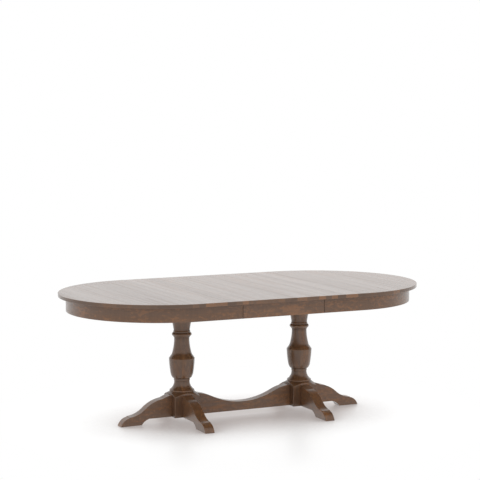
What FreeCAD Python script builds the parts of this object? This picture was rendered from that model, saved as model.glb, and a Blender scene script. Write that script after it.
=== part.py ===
import FreeCAD, Part
import math
import operator
import os
from types import SimpleNamespace

import Sketcher

# Oval extension dining table on two turned pedestals, with its one leaf in place.
#
# Frame: millimetres, +Z up from the floor, origin on the floor under the middle of
# the top, +X along the length to the right, +Y to the back. The halves of the top
# part along X, each on two dovetailed slide rails, and a gear between two racks
# keeps them level with each other. The leaf drops between them from above.

SIZES = {
    # The top, with its leaf in
    "top_length": 2190,
    "top_width": 1176,
    "table_height": 762,
    "leaf_length": 508,
    "top_thickness": 20,
    "top_edge_round": 1.5,
    "seam_clearance": 0.2,
    "seam_chamfer": 0.6,
    # The apron under it
    "apron_inset": 44,
    "apron_height": 83.5,
    "apron_thickness": 19,
    "apron_end_chamfer": 1.5,
    "block_side": 18,
    "block_length": 50,
    # The pedestals: a turned column on a square hub
    "pedestal_spacing": 764,
    "base_rise": 35,
    "hub_width": 156,
    "hub_height": 142,
    "hub_edge_round": 3,
    "pommel_drop": 23,
    "pommel_bulge": 1.2,
    "urn_radius": 74.4,
    "well_radius": 36,
    "well_depth": 90,
    "tenon_radius": 24,
    "tenon_length": 34,
    "tenon_gap": 1,
    # The feet and the stretcher, sawn from boards of one thickness
    "board_thickness": 57.5,
    "board_edge_round": 2,
    "board_top": 161,
    "foot_reach": 389,
    "stretcher_waist": 53,
    "glide_radius": 14,
    "glide_thickness": 5,
    "glide_proud": 2,
    "glide_nail_radius": 1.5,
    "glide_nail_length": 16,
    # What joins them to the hub
    "bolt_radius": 4,
    "bolt_level": 98,
    "bolt_grip": 60,
    "bolt_tail": 12,
    "washer_radius": 10,
    "washer_thickness": 1.6,
    "nut_radius": 7.5,
    "nut_thickness": 6.5,
    "dowel_radius": 5,
    "dowel_length": 50,
    "dowel_spacing": 76,
    # Bearers on the columns and the fixed slide rails on the bearers
    "bearer_thickness": 26,
    "bearer_width": 150,
    "bearer_length": 540,
    "rail_height": 52,
    "rail_width": 30,
    "rail_centre": 230,
    "rail_length": 1200,
    "rail_top_clearance": 0.3,
    "groove_mouth": 12,
    "groove_width": 18,
    "groove_depth": 10,
    # The slide rails under the halves of the top
    "slide_height": 51,
    "slide_setback": 14,
    "slide_end_setback": 164,
    "slide_clearance": 0.4,
    "opening_travel": 50,
    "stop_pin_radius": 3.5,
    "stop_pin_rise": 8.5,
    "stop_pin_setback": 20,
    "stop_pin_reach": 7,
    "stop_clearance": 0.3,
    "batten_thickness": 18,
    "batten_width": 50,
    "batten_length": 360,
    "batten_gap": 10,
    # The equalizer: a gear on the bridge, between two racks
    "bridge_thickness": 18,
    "bridge_width": 110,
    "gear_module": 3,
    "gear_teeth": 18,
    "gear_backlash": 0.5,
    "gear_thickness": 16,
    "gear_float": 0.3,
    "gear_bore_clearance": 0.05,
    "axle_radius": 5,
    "axle_head_radius": 9,
    "axle_head_height": 4,
    "axle_nut_height": 7,
    "rack_thickness": 16,
    "rack_back": 12,
    "rack_lift": 0.8,
    "rack_block_length": 60,
    "rack_block_width": 40,
    "guide_clearance": 0.5,
    "guide_thickness": 16,
    # Screws and the pins that line the leaf up
    "screw_radius": 2.5,
    "screw_head_radius": 5,
    "screw_head_height": 4,
    "screw_bite": 12,
    "screw_margin": 30,
    "rail_screw_bite": 25,
    "lag_radius": 4,
    "lag_head_radius": 8,
    "lag_head_height": 6,
    "lag_bite": 50,
    "lag_spread": 28,
    "pin_radius": 4,
    "pin_proud": 12,
    "pin_seat": 25,
    "pin_pitch": 400,
    "pin_shift": 25,
    "pin_clearance": 0.4,
    # How far a cutting shape runs past what it cuts
    "overrun": 10,
}

# Outline of a foot's top edge from the toe to the hub: how far out from the hub, as
# a share of the foot's run, how high, as a share of its height at the hub, and how
# far the arc to the next point swells out, as a share of that height.
FOOT_TOP_SHARES = (
    (0.830, 0.307, 0.000),
    (0.823, 0.334, -0.058),
    (0.527, 0.550, 0.067),
    (0.186, 0.853, 0.018),
    (0.000, 1.000, 0.000),
)
TOE_BULGE_SHARE = 0.062
HEEL_SHARE = 0.592
ARCH_SHARE = 0.4405
ARCH_BULGE_SHARE = 0.034

# Outline of the stretcher's top edge on one side of the middle.
STRETCHER_SWEEP_SHARE = 0.642
STRETCHER_SWEEP_HEIGHT_SHARE = 0.804
STRETCHER_SHOULDER_BULGE_SHARE = 0.034

# Turned outline of a column, from the hub up: radius and swell of the arc to the
# next point as shares of the urn's radius, height as a share of the turned length.
TURNING_SHARES = (
    (0.945, 0.0000, 0.022),
    (0.945, 0.0190, 0.000),
    (0.907, 0.0220, -0.078),
    (0.602, 0.1170, 0.000),
    (0.602, 0.1240, 0.000),
    (0.626, 0.1270, 0.000),
    (0.626, 0.1570, 0.000),
    (0.740, 0.1610, 0.022),
    (0.887, 0.2200, 0.016),
    (0.997, 0.3800, 0.000),
    (1.000, 0.3930, 0.000),
    (0.780, 0.4410, -0.052),
    (0.590, 0.6370, 0.000),
    (0.590, 0.6410, 0.000),
    (0.640, 0.6440, 0.000),
    (0.640, 0.6550, 0.000),
    (0.659, 0.6570, 0.108),
    (0.659, 0.6990, 0.000),
    (0.659, 0.7150, 0.000),
    (0.626, 0.7260, 0.000),
    (0.626, 0.7330, -0.020),
    (0.860, 0.9000, 0.000),
    (0.940, 0.9030, 0.000),
    (0.940, 1.0000, 0.000),
)

# Gear and rack teeth: how far a tooth reaches in from the pitch line, in modules.
PRESSURE_ANGLE = math.radians(20)
TOOTH_DEPTH_SHARE = 1.25

# How far a quarter circle swells out from its chord, as a share of its radius.
QUARTER_BULGE_SHARE = 1 - math.sqrt(0.5)

QUARTER_TURNS = (0, 90, 180, 270)
SIDES = (-1, 1)
MATCH = 1e-6  # two places nearer than this are one

doc = FreeCAD.newDocument("OvalTable")
sheet = doc.addObject("Spreadsheet::Sheet", "Sizes")
nodes = {}


class Size:
    """A length or count with the sheet expression that gives it.

    Sums and products of sizes are sizes, so what is worked out from named sizes can
    be bound to the sheet as well as read as a number.
    """

    def __init__(self, value, text):
        self.value = value
        self.text = text

    def __add__(self, other):
        return joined(self, "+", operator.add, other)

    def __radd__(self, other):
        return joined(other, "+", operator.add, self)

    def __sub__(self, other):
        return joined(self, "-", operator.sub, other)

    def __rsub__(self, other):
        return joined(other, "-", operator.sub, self)

    def __mul__(self, other):
        return joined(self, "*", operator.mul, other)

    def __rmul__(self, other):
        return joined(other, "*", operator.mul, self)

    def __truediv__(self, other):
        return joined(self, "/", operator.truediv, other)

    def __neg__(self):
        return Size(-self.value, "(-1 * %s)" % self.text)

    def __abs__(self):
        return Size(abs(self.value), "abs(%s)" % self.text)


def as_size(number):
    """A plain number as a size."""
    if isinstance(number, Size):
        return number
    return Size(number, "(%.9g)" % number)


def joined(left, sign, action, right):
    """Two sizes joined by one sign, as value and as text."""
    left = as_size(left)
    right = as_size(right)
    return Size(action(left.value, right.value), "(%s %s %s)" % (left.text, sign, right.text))


def root(size):
    """The square root of a size."""
    return Size(math.sqrt(size.value), "sqrt(%s)" % size.text)


for row, (alias, amount) in enumerate(SIZES.items(), start=1):
    sheet.set("A%d" % row, alias)
    sheet.set("B%d" % row, str(amount))
    sheet.setAlias("B%d" % row, alias)
doc.recompute()
s = SimpleNamespace(**{alias: Size(amount, "Sizes." + alias) for alias, amount in SIZES.items()})


# Places that several pieces share
top_underside = s.table_height - s.top_thickness
rail_top = top_underside - s.rail_top_clearance
rail_seat = rail_top - s.rail_height
column_top = rail_seat - s.bearer_thickness
hub_half = s.hub_width / 2
hub_top = s.base_rise + s.hub_height
pedestal_x = s.pedestal_spacing / 2
seam_x = s.leaf_length / 2
end_radius = s.top_width / 2
end_centre_x = s.top_length / 2 - end_radius
apron_outer = end_radius - s.apron_inset
apron_inner = apron_outer - s.apron_thickness
apron_foot = top_underside - s.apron_height
rail_inner_y = s.rail_centre - s.rail_width / 2
rail_outer_y = s.rail_centre + s.rail_width / 2
groove_level = rail_seat + s.rail_height / 2
slide_inner_y = rail_outer_y + s.slide_clearance
slide_outer_y = slide_inner_y + s.rail_width
slide_foot = top_underside - s.slide_height
slide_inner_x = seam_x + s.slide_setback
slide_outer_x = s.top_length / 2 - s.slide_end_setback
slide_length = slide_outer_x - slide_inner_x
stop_pin_x = slide_inner_x + s.stop_pin_setback
stop_pin_level = rail_seat + s.stop_pin_rise
gear_radius = s.gear_module * s.gear_teeth / 2
gear_foot = rail_seat + s.gear_float
rack_foot = rail_seat + s.rack_lift
rack_top = rack_foot + s.rack_thickness
rack_root_y = gear_radius + s.gear_module * TOOTH_DEPTH_SHARE
rack_rear_y = rack_root_y + s.rack_back
rack_screw_y = (rack_root_y + rack_rear_y) / 2
rack_block_x = s.rail_length / 2
bridge_foot = rail_seat - s.bridge_thickness
pin_level = top_underside + s.top_thickness / 2
batten_x = slide_outer_x + s.batten_gap
batten_foot = top_underside - s.batten_thickness
foot_run = s.foot_reach - hub_half
heel_x = hub_half + foot_run * HEEL_SHARE


def bind(thing, name, size):
    """Tie one property to the sheet."""
    size = as_size(size)
    thing.setExpression(name, size.text)


def place(thing, x=0, y=0, z=0, axis=(0, 0, 1), angle=0):
    """Set a thing down at a bound point, turned by a plain angle."""
    point = FreeCAD.Vector(as_size(x).value, as_size(y).value, as_size(z).value)
    thing.Placement = FreeCAD.Placement(point, FreeCAD.Rotation(FreeCAD.Vector(*axis), angle))
    for letter, amount in zip("xyz", (x, y, z)):
        bind(thing, "Placement.Base." + letter, amount)
    return thing


def new_body(label):
    """An empty body."""
    body = doc.addObject("PartDesign::Body", label)
    body.Label = label
    return body


def origin_feature(body, role):
    """One of a body's own origin planes or axes."""
    return [item for item in body.Origin.OriginFeatures if item.Role == role][0]


def sketch_on(body, role, offset=0):
    """A sketch on a body's origin plane, moved along the plane's normal."""
    sketch = body.newObject("Sketcher::SketchObject", body.Name + "_sketch")
    sketch.AttachmentSupport = [(origin_feature(body, role), "")]
    sketch.MapMode = "FlatFace"
    bind(sketch, "AttachmentOffset.Base.z", offset)
    return sketch


def fix_point(sketch, geometry, end, x, y):
    """Hold one point of a sketch at bound coordinates."""
    for kind, amount in (("DistanceX", x), ("DistanceY", y)):
        number = sketch.addConstraint(Sketcher.Constraint(kind, geometry, end, as_size(amount).value))
        bind(sketch, "Constraints[%d]" % number, amount)


def outline(sketch, points):
    """A closed outline drawn counter-clockwise through (x, y) or (x, y, bulge) points.

    The bulge is how far the arc to the next point swells out of the outline, or into
    it where negative.
    """
    count = len(points)
    pieces = []
    for index, start in enumerate(points):
        end = points[(index + 1) % count]
        first = FreeCAD.Vector(as_size(start[0]).value, as_size(start[1]).value, 0)
        last = FreeCAD.Vector(as_size(end[0]).value, as_size(end[1]).value, 0)
        bulge = as_size(start[2] if len(start) > 2 else 0)
        if bulge.value == 0:
            pieces.append((sketch.addGeometry(Part.LineSegment(first, last), False), None))
            continue
        chord = last - first
        outward = FreeCAD.Vector(chord.y, -chord.x, 0).normalize()
        middle = (first + last) * 0.5 + outward * bulge.value
        across = as_size(end[0]) - start[0]
        up = as_size(end[1]) - start[1]
        radius = ((across * across + up * up) / 4 + bulge * bulge) / (2 * abs(bulge))
        pieces.append((sketch.addGeometry(Part.Arc(first, middle, last), False), radius))
    for index, (geometry, radius) in enumerate(pieces):
        start = points[index]
        where = FreeCAD.Vector(as_size(start[0]).value, as_size(start[1]).value, 0)
        near_end = 1 if near(sketch.getPoint(geometry, 1), where) else 2
        before = pieces[index - 1][0]
        before_end = 1 if near(sketch.getPoint(before, 1), where) else 2
        sketch.addConstraint(Sketcher.Constraint("Coincident", before, before_end, geometry, near_end))
        fix_point(sketch, geometry, near_end, start[0], start[1])
        if radius is not None:
            number = sketch.addConstraint(Sketcher.Constraint("Radius", geometry, radius.value))
            bind(sketch, "Constraints[%d]" % number, radius)
    return sketch


def near(point, other):
    """Whether two points are one."""
    return point.distanceToPoint(other) < MATCH


def rectangle(low_x, low_y, high_x, high_y):
    """The corners of an upright rectangle, counter-clockwise."""
    return [(low_x, low_y), (high_x, low_y), (high_x, high_y), (low_x, high_y)]


def circle(sketch, x, y, radius):
    """A circle at a bound centre, of a bound radius."""
    centre = FreeCAD.Vector(as_size(x).value, as_size(y).value, 0)
    normal = FreeCAD.Vector(0, 0, 1)
    geometry = sketch.addGeometry(Part.Circle(centre, normal, as_size(radius).value), False)
    fix_point(sketch, geometry, 3, x, y)
    number = sketch.addConstraint(Sketcher.Constraint("Radius", geometry, as_size(radius).value))
    bind(sketch, "Constraints[%d]" % number, radius)


def pad(body, sketch, length, midplane=False, backward=False):
    """Grow a sketch into a solid."""
    feature = body.newObject("PartDesign::Pad", body.Name + "_pad")
    feature.Profile = sketch
    feature.Midplane = midplane
    feature.Reversed = backward
    bind(feature, "Length", length)
    body.Tip = feature
    doc.recompute()
    return feature


def cut_away(body, kind, sketch, **settings):
    """Cut a sketch out of a body by a pocket or a groove, and see that it cuts."""
    before = body.Shape.Volume
    feature = body.newObject("PartDesign::" + kind, body.Name + "_" + kind.lower())
    feature.Profile = sketch
    for name, setting in settings.items():
        if isinstance(setting, Size):
            bind(feature, name, setting)
        else:
            setattr(feature, name, setting)
    body.Tip = feature
    doc.recompute()
    if not body.Shape.Volume < before:
        raise RuntimeError(body.Label + ": a cut removes nothing")
    return feature


def dress(body, kind, name, size, wanted):
    """Round or chamfer every edge of the body's tip that the wanted test picks."""
    tip = body.Tip
    edges = ["Edge%d" % number for number, edge in enumerate(tip.Shape.Edges, start=1) if wanted(edge)]
    if not edges:
        raise RuntimeError(body.Label + ": no edge to dress")
    feature = body.newObject("PartDesign::" + kind, body.Name + "_" + kind.lower())
    feature.Base = (tip, edges)
    bind(feature, name, size)
    body.Tip = feature
    doc.recompute()
    return feature


def keep(label, thing):
    """Name a finished piece and list it as a node."""
    thing.Label = label
    nodes[label] = thing
    return thing


def rod(radius, length, x=0, y=0, z=0, axis=(0, 0, 1), angle=0):
    """A plain cylinder from a point along +Z, or along what a turn makes of it."""
    thing = doc.addObject("Part::Cylinder", "rod")
    bind(thing, "Radius", radius)
    bind(thing, "Height", length)
    return place(thing, x, y, z, axis, angle)


def board(long_x, long_y, long_z, x, y, z, angle=0):
    """A squared board with its low corner at a point."""
    thing = doc.addObject("Part::Box", "board")
    bind(thing, "Length", long_x)
    bind(thing, "Width", long_y)
    bind(thing, "Height", long_z)
    return place(thing, x, y, z, angle=angle)


def group(label, things, x=0, turn=0):
    """Separate solids held as one piece, set down and turned about the vertical."""
    thing = doc.addObject("Part::Compound", label)
    thing.Links = things
    return place(thing, x, angle=turn)


def fused_group(label, things, x=0, turn=0):
    """Solids joined where they meet, as heads to their shanks."""
    thing = doc.addObject("Part::MultiFuse", label)
    thing.Shapes = things
    return place(thing, x, angle=turn)


def screw(x, y, z, length, downward=False, kind="screw"):
    """The shank and countersunk head of one screw, driven up, or down, from a point."""
    radius = getattr(s, kind + "_radius")
    head_radius = getattr(s, kind + "_head_radius")
    head_height = getattr(s, kind + "_head_height")
    angle = 180 if downward else 0
    shank = rod(radius, length, x, y, z, (1, 0, 0), angle)
    head = doc.addObject("Part::Cone", "head")
    bind(head, "Radius1", head_radius)
    bind(head, "Radius2", radius)
    bind(head, "Height", head_height)
    place(head, x, y, z, (1, 0, 0), angle)
    return [shank, head]


def seated(label, blank, fittings):
    """The blank with a seat cut wherever a fitting passes through it."""
    tools = doc.addObject("Part::Compound", label + "_fittings")
    tools.Links = fittings
    piece = doc.addObject("Part::Cut", label)
    piece.Base = blank
    piece.Tool = tools
    return keep(label, piece)


# Base: what joins the feet and the stretcher to a hub

def compass(turn):
    """The level direction that a number of quarter turns from +X points in."""
    across = round(math.cos(math.radians(turn)))
    along = round(math.sin(math.radians(turn)))
    return across, along


def outward(thing, start, level, turn):
    """Lay an upright solid level, to run outward from a way out of a pedestal's axis."""
    across, along = compass(turn)
    place(thing, start * across, start * along, level)
    laid = FreeCAD.Rotation(FreeCAD.Vector(0, 0, 1), FreeCAD.Vector(across, along, 0))
    thing.Placement = FreeCAD.Placement(thing.Placement.Base, laid)
    return thing


def hexagon(radius, thickness):
    """A hexagonal nut, not yet bored."""
    thing = doc.addObject("Part::Prism", "nut")
    thing.Polygon = 6
    bind(thing, "Circumradius", radius)
    bind(thing, "Height", thickness)
    return thing


def foot_dowels(side, x):
    """Two dowels in each joint of a hub."""
    dowels = []
    start = hub_half - s.dowel_length / 2
    for turn in QUARTER_TURNS:
        for hand in SIDES:
            level = s.bolt_level + hand * s.dowel_spacing / 2
            dowels.append(outward(rod(s.dowel_radius, s.dowel_length), start, level, turn))
    return keep("foot_dowels_" + side, group("foot_dowels_" + side, dowels, x))


def hanger_bolts(side, x):
    """One bolt in each joint of a hub, from the well out into the board."""
    start = s.well_radius - s.bolt_tail
    length = hub_half + s.bolt_grip - start
    bolts = [outward(rod(s.bolt_radius, length), start, s.bolt_level, turn) for turn in QUARTER_TURNS]
    return keep("hanger_bolts_" + side, group("hanger_bolts_" + side, bolts, x))


def hanger_nuts(side, x, bolts):
    """A nut and a washer on each bolt, the washer's rim against the well's wall."""
    washer_rim = root(s.well_radius * s.well_radius - s.washer_radius * s.washer_radius)
    washer_start = washer_rim - s.washer_thickness
    nut_start = washer_start - s.nut_thickness
    nuts = []
    for turn in QUARTER_TURNS:
        nuts.append(outward(rod(s.washer_radius, s.washer_thickness), washer_start, s.bolt_level, turn))
        nuts.append(outward(hexagon(s.nut_radius, s.nut_thickness), nut_start, s.bolt_level, turn))
    return seated("hanger_nuts_" + side, group("solid_nuts_" + side, nuts, x), [bolts])


def foot_glides(side, x, turn):
    """A nailed glide under the flat of each of a pedestal's three feet."""
    glides = []
    middle = (heel_x + s.foot_reach) / 2
    for quarter in QUARTER_TURNS[1:]:
        across, along = compass(quarter)
        glides.append(rod(s.glide_radius, s.glide_thickness, middle * across, middle * along))
        glides.append(rod(s.glide_nail_radius, s.glide_nail_length, middle * across, middle * along))
    return keep("foot_glides_" + side, fused_group("foot_glides_" + side, glides, x, turn))


# Base: the wooden pieces

def hub_blank(side, x):
    """A square hub: its top turned down to the corners, a well below, a mortise above."""
    body = new_body("hub_blank_" + side)
    square = rectangle(-hub_half, -hub_half, hub_half, hub_half)
    pad(body, outline(sketch_on(body, "XY_Plane", s.base_rise), square), s.hub_height)
    dress(body, "Fillet", "Radius", s.hub_edge_round, is_upright)
    corner = hub_half * math.sqrt(2)
    ring = s.urn_radius * TURNING_SHARES[0][0]
    beyond = corner + s.overrun
    above = hub_top + s.overrun
    pommel = [
        (ring, hub_top, -s.pommel_bulge),
        (corner, hub_top - s.pommel_drop),
        (beyond, hub_top - s.pommel_drop),
        (beyond, above),
        (ring, above),
    ]
    sketch = outline(sketch_on(body, "XZ_Plane"), pommel)
    cut_away(body, "Groove", sketch, ReferenceAxis=(sketch, ["V_Axis"]), Angle=360)
    well = sketch_on(body, "XY_Plane", s.base_rise)
    circle(well, 0, 0, s.well_radius)
    cut_away(body, "Pocket", well, Length=s.well_depth, Reversed=True)
    mortise = sketch_on(body, "XY_Plane", hub_top)
    circle(mortise, 0, 0, s.tenon_radius)
    cut_away(body, "Pocket", mortise, Length=s.tenon_length + s.tenon_gap)
    return place(body, x)


def column_blank(side, x):
    """A turned column on a round tenon that is glued into its hub."""
    body = new_body("column_blank_" + side)
    turned = column_top - hub_top
    tenon_foot = hub_top - s.tenon_length
    profile = [(0, tenon_foot), (s.tenon_radius, tenon_foot), (s.tenon_radius, hub_top)]
    for radius_share, height_share, bulge_share in TURNING_SHARES:
        level = hub_top + turned * height_share
        profile.append((s.urn_radius * radius_share, level, s.urn_radius * bulge_share))
    profile.append((0, column_top))
    sketch = outline(sketch_on(body, "XZ_Plane"), profile)
    feature = body.newObject("PartDesign::Revolution", body.Name + "_turning")
    feature.Profile = sketch
    feature.ReferenceAxis = (sketch, ["V_Axis"])
    feature.Angle = 360
    body.Tip = feature
    doc.recompute()
    return place(body, x)


def is_upright(edge):
    """Whether an edge runs straight up."""
    start = edge.Vertexes[0].Point
    end = edge.Vertexes[-1].Point
    return abs(start.x - end.x) < MATCH and abs(start.y - end.y) < MATCH


def board_arris(joint_x):
    """A test for the long edges of a sawn board that butts against a hub at joint_x."""

    def wanted(edge):
        ends = [vertex.Point for vertex in edge.Vertexes]
        broad = all(abs(abs(point.y) - s.board_thickness.value / 2) < MATCH for point in ends)
        joint = all(abs(abs(point.x) - joint_x.value) < MATCH for point in ends)
        return broad and not joint

    return wanted


def foot_blank(label, x, turn):
    """A scrolled board foot, from the hub's face out to its toe."""
    body = new_body(label)
    arch_x = hub_half + foot_run * ARCH_SHARE
    points = [
        (hub_half, s.base_rise),
        (arch_x, s.base_rise, -s.board_top * ARCH_BULGE_SHARE),
        (heel_x, s.glide_proud),
        (s.foot_reach, s.glide_proud, s.board_top * TOE_BULGE_SHARE),
    ]
    for run_share, height_share, bulge_share in FOOT_TOP_SHARES:
        out_x = hub_half + foot_run * run_share
        points.append((out_x, s.board_top * height_share, s.board_top * bulge_share))
    sketch = outline(sketch_on(body, "XZ_Plane"), points)
    pad(body, sketch, s.board_thickness, midplane=True)
    dress(body, "Fillet", "Radius", s.board_edge_round, board_arris(hub_half))
    return place(body, x, angle=turn)


def stretcher_blank():
    """The scrolled board that runs from hub to hub, low in the middle."""
    body = new_body("stretcher_blank")
    end_x = pedestal_x - hub_half
    sweep_x = end_x * STRETCHER_SWEEP_SHARE
    sweep_z = s.board_top * STRETCHER_SWEEP_HEIGHT_SHARE
    waist_z = s.base_rise + s.stretcher_waist
    shoulder = s.board_top * STRETCHER_SHOULDER_BULGE_SHARE
    points = [
        (-end_x, s.base_rise),
        (end_x, s.base_rise),
        (end_x, s.board_top, shoulder),
        (sweep_x, sweep_z, waist_z - sweep_z),
        (-sweep_x, sweep_z, shoulder),
        (-end_x, s.board_top),
    ]
    sketch = outline(sketch_on(body, "XZ_Plane"), points)
    pad(body, sketch, s.board_thickness, midplane=True)
    dress(body, "Fillet", "Radius", s.board_edge_round, board_arris(end_x))
    return body


def column_screws():
    """Lag screws, down through the bearers into the column tops."""
    parts = []
    for side in SIDES:
        for along in SIDES:
            for across in SIDES:
                x = side * pedestal_x + along * s.lag_spread
                y = across * s.lag_spread
                parts += screw(x, y, rail_seat, s.bearer_thickness + s.lag_bite, True, "lag")
    return keep("column_screws", fused_group("column_screws", parts))


def rail_screws():
    """Screws, up through the bearers and the bridge into the fixed rails."""
    parts = []
    y = rail_inner_y + (s.rail_width - s.groove_depth) / 2
    bearer_reach = s.bearer_width / 2 - s.screw_margin
    bridge_reach = s.bridge_width / 2 - s.screw_margin
    places = [(side * pedestal_x + along * bearer_reach, column_top) for side in SIDES for along in SIDES]
    places += [(along * bridge_reach, bridge_foot) for along in SIDES]
    for x, level in places:
        for across in SIDES:
            parts += screw(x, across * y, level, rail_seat - level + s.rail_screw_bite)
    return keep("rail_screws", fused_group("rail_screws", parts))


def fixed_rail(label, turn, fittings):
    """A fixed rail with a dovetail groove and two stop slots in its outer face."""
    body = new_body(label + "_blank")
    floor_y = rail_outer_y - s.groove_depth
    points = [
        (rail_inner_y, rail_seat),
        (rail_outer_y, rail_seat),
        (rail_outer_y, groove_level - s.groove_mouth / 2),
        (floor_y, groove_level - s.groove_width / 2),
        (floor_y, groove_level + s.groove_width / 2),
        (rail_outer_y, groove_level + s.groove_mouth / 2),
        (rail_outer_y, rail_top),
        (rail_inner_y, rail_top),
    ]
    pad(body, outline(sketch_on(body, "YZ_Plane"), points), s.rail_length, midplane=True)
    slot_radius = s.stop_pin_radius + s.stop_clearance
    near_x = stop_pin_x - seam_x
    far_x = stop_pin_x + s.opening_travel
    for hand in SIDES:
        slot = sketch_on(body, "XZ_Plane", -rail_outer_y)
        outline(slot, slot_points(hand, near_x, far_x, stop_pin_level, slot_radius))
        cut_away(body, "Pocket", slot, Length=s.stop_pin_reach + s.stop_clearance, Reversed=True)
    place(body, angle=turn)
    return seated(label, body, fittings)


def slot_points(hand, near_x, far_x, level, radius):
    """A level slot with round ends, on the left (-1) or the right (1) of the middle."""
    low_x, high_x = (near_x, far_x) if hand > 0 else (-far_x, -near_x)
    bulge = radius * QUARTER_BULGE_SHARE
    return [
        (low_x, level - radius),
        (high_x, level - radius, bulge),
        (high_x + radius, level, bulge),
        (high_x, level + radius),
        (low_x, level + radius, bulge),
        (low_x - radius, level, bulge),
    ]


# The equalizer

def gear_outline(radius, module, teeth, backlash):
    """One closed wire: involute flanks, with a tooth centred on +Y."""
    base = radius * math.cos(PRESSURE_ANGLE)
    tip = radius + module
    foot = radius - module * TOOTH_DEPTH_SHARE
    half_pitch_angle = (math.pi * module / 2 - backlash / 2) / (2 * radius)
    spread = half_pitch_angle + math.tan(PRESSURE_ANGLE) - PRESSURE_ANGLE
    steps = 5
    levels = [base + (tip - base) * step / steps for step in range(steps + 1)]

    def flank_point(level, middle, hand):
        roll = math.acos(min(1, base / level))
        angle = middle + hand * (spread - math.tan(roll) + roll)
        return FreeCAD.Vector(level * math.cos(angle), level * math.sin(angle), 0)

    def on_circle(level, angle):
        return FreeCAD.Vector(level * math.cos(angle), level * math.sin(angle), 0)

    edges = []
    for tooth in range(teeth):
        middle = math.pi / 2 + tooth * 2 * math.pi / teeth
        rise = [flank_point(level, middle, -1) for level in levels]
        fall = [flank_point(level, middle, 1) for level in reversed(levels)]
        foot_start = on_circle(foot, middle - spread)
        foot_end = on_circle(foot, middle + spread)
        next_start = on_circle(foot, middle - spread + 2 * math.pi / teeth)
        edges.append(Part.LineSegment(foot_start, rise[0]).toShape())
        edges.append(curve_through(rise))
        edges.append(Part.Arc(rise[-1], on_circle(tip, middle), fall[0]).toShape())
        edges.append(curve_through(fall))
        edges.append(Part.LineSegment(fall[-1], foot_end).toShape())
        edges.append(Part.Arc(foot_end, on_circle(foot, middle + math.pi / teeth), next_start).toShape())
    return Part.Wire(edges)


def curve_through(points):
    """A smooth edge through a few points."""
    curve = Part.BSplineCurve()
    curve.interpolate(points)
    return curve.toShape()


def pinion():
    """The equalizer gear, bored to run on its axle."""
    wire = gear_outline(gear_radius.value, s.gear_module.value, SIZES["gear_teeth"], s.gear_backlash.value)
    bore_radius = (s.axle_radius + s.gear_bore_clearance).value
    bore = Part.Wire([Part.Circle(FreeCAD.Vector(0, 0, 0), FreeCAD.Vector(0, 0, 1), bore_radius).toShape()])
    thing = doc.addObject("Part::Feature", "pinion")
    face = Part.makeFace([wire, bore], "Part::FaceMakerBullseye")
    thing.Shape = face.extrude(FreeCAD.Vector(0, 0, s.gear_thickness.value))
    return keep("pinion", place(thing, 0, 0, gear_foot))


def rack_blank(label, turn):
    """A rack whose teeth face the gear, with a tooth space at the gear at rest."""
    module = s.gear_module.value
    pitch = math.pi * module
    radius = gear_radius.value
    tip_y = radius - module
    foot_y = rack_root_y.value
    half_middle = (pitch / 2 - s.gear_backlash.value / 2) / 2
    half_tip = half_middle - module * math.tan(PRESSURE_ANGLE)
    half_foot = half_middle + (foot_y - radius) * math.tan(PRESSURE_ANGLE)
    first = -math.ceil(seam_x.value / pitch) - 2
    last = math.ceil(s.opening_travel.value / pitch) + 2
    inner_x = last * pitch
    outer_x = -(rack_block_x + s.rack_block_length).value
    points = [(outer_x, rack_rear_y.value), (outer_x, foot_y)]
    for tooth in range(first, last):
        middle = (tooth + 0.5) * pitch
        points.append((middle - half_foot, foot_y))
        points.append((middle - half_tip, tip_y))
        points.append((middle + half_tip, tip_y))
        points.append((middle + half_foot, foot_y))
    points += [(inner_x, foot_y), (inner_x, rack_rear_y.value)]
    corners = [FreeCAD.Vector(x, y, 0) for x, y in points]
    wire = Part.makePolygon(corners + corners[:1])
    thing = doc.addObject("Part::Feature", label)
    thing.Shape = Part.Face(wire).extrude(FreeCAD.Vector(0, 0, s.rack_thickness.value))
    return place(thing, 0, 0, rack_foot, angle=turn)


def axle_pieces():
    """The gear's shoulder bolt and its nut under the bridge."""
    head_foot = gear_foot + s.gear_thickness + s.gear_float
    nut_foot = bridge_foot - s.axle_nut_height
    shank_length = head_foot - nut_foot
    shank = rod(s.axle_radius, shank_length, 0, 0, nut_foot)
    head = rod(s.axle_head_radius, s.axle_head_height, 0, 0, head_foot)
    bolt = keep("pinion_bolt", fused_group("pinion_bolt", [shank, head]))
    solid_nut = hexagon(s.axle_head_radius, s.axle_nut_height)
    seated("pinion_nut", place(solid_nut, 0, 0, nut_foot), [bolt])
    return bolt


def rack_guides():
    """Blocks on the bridge that hold the racks in mesh."""
    length = s.bridge_width - s.guide_thickness
    guides = []
    near_y = rack_rear_y + s.guide_clearance
    for low_y in (near_y, -near_y - s.guide_thickness):
        guides.append(board(length, s.guide_thickness, s.rack_thickness, -length / 2, low_y, rail_seat))
    return keep("rack_guides", group("rack_guides", guides))


# The halves of the top: everything is drawn for the left half, and the right half
# is the same turned half round.

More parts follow.
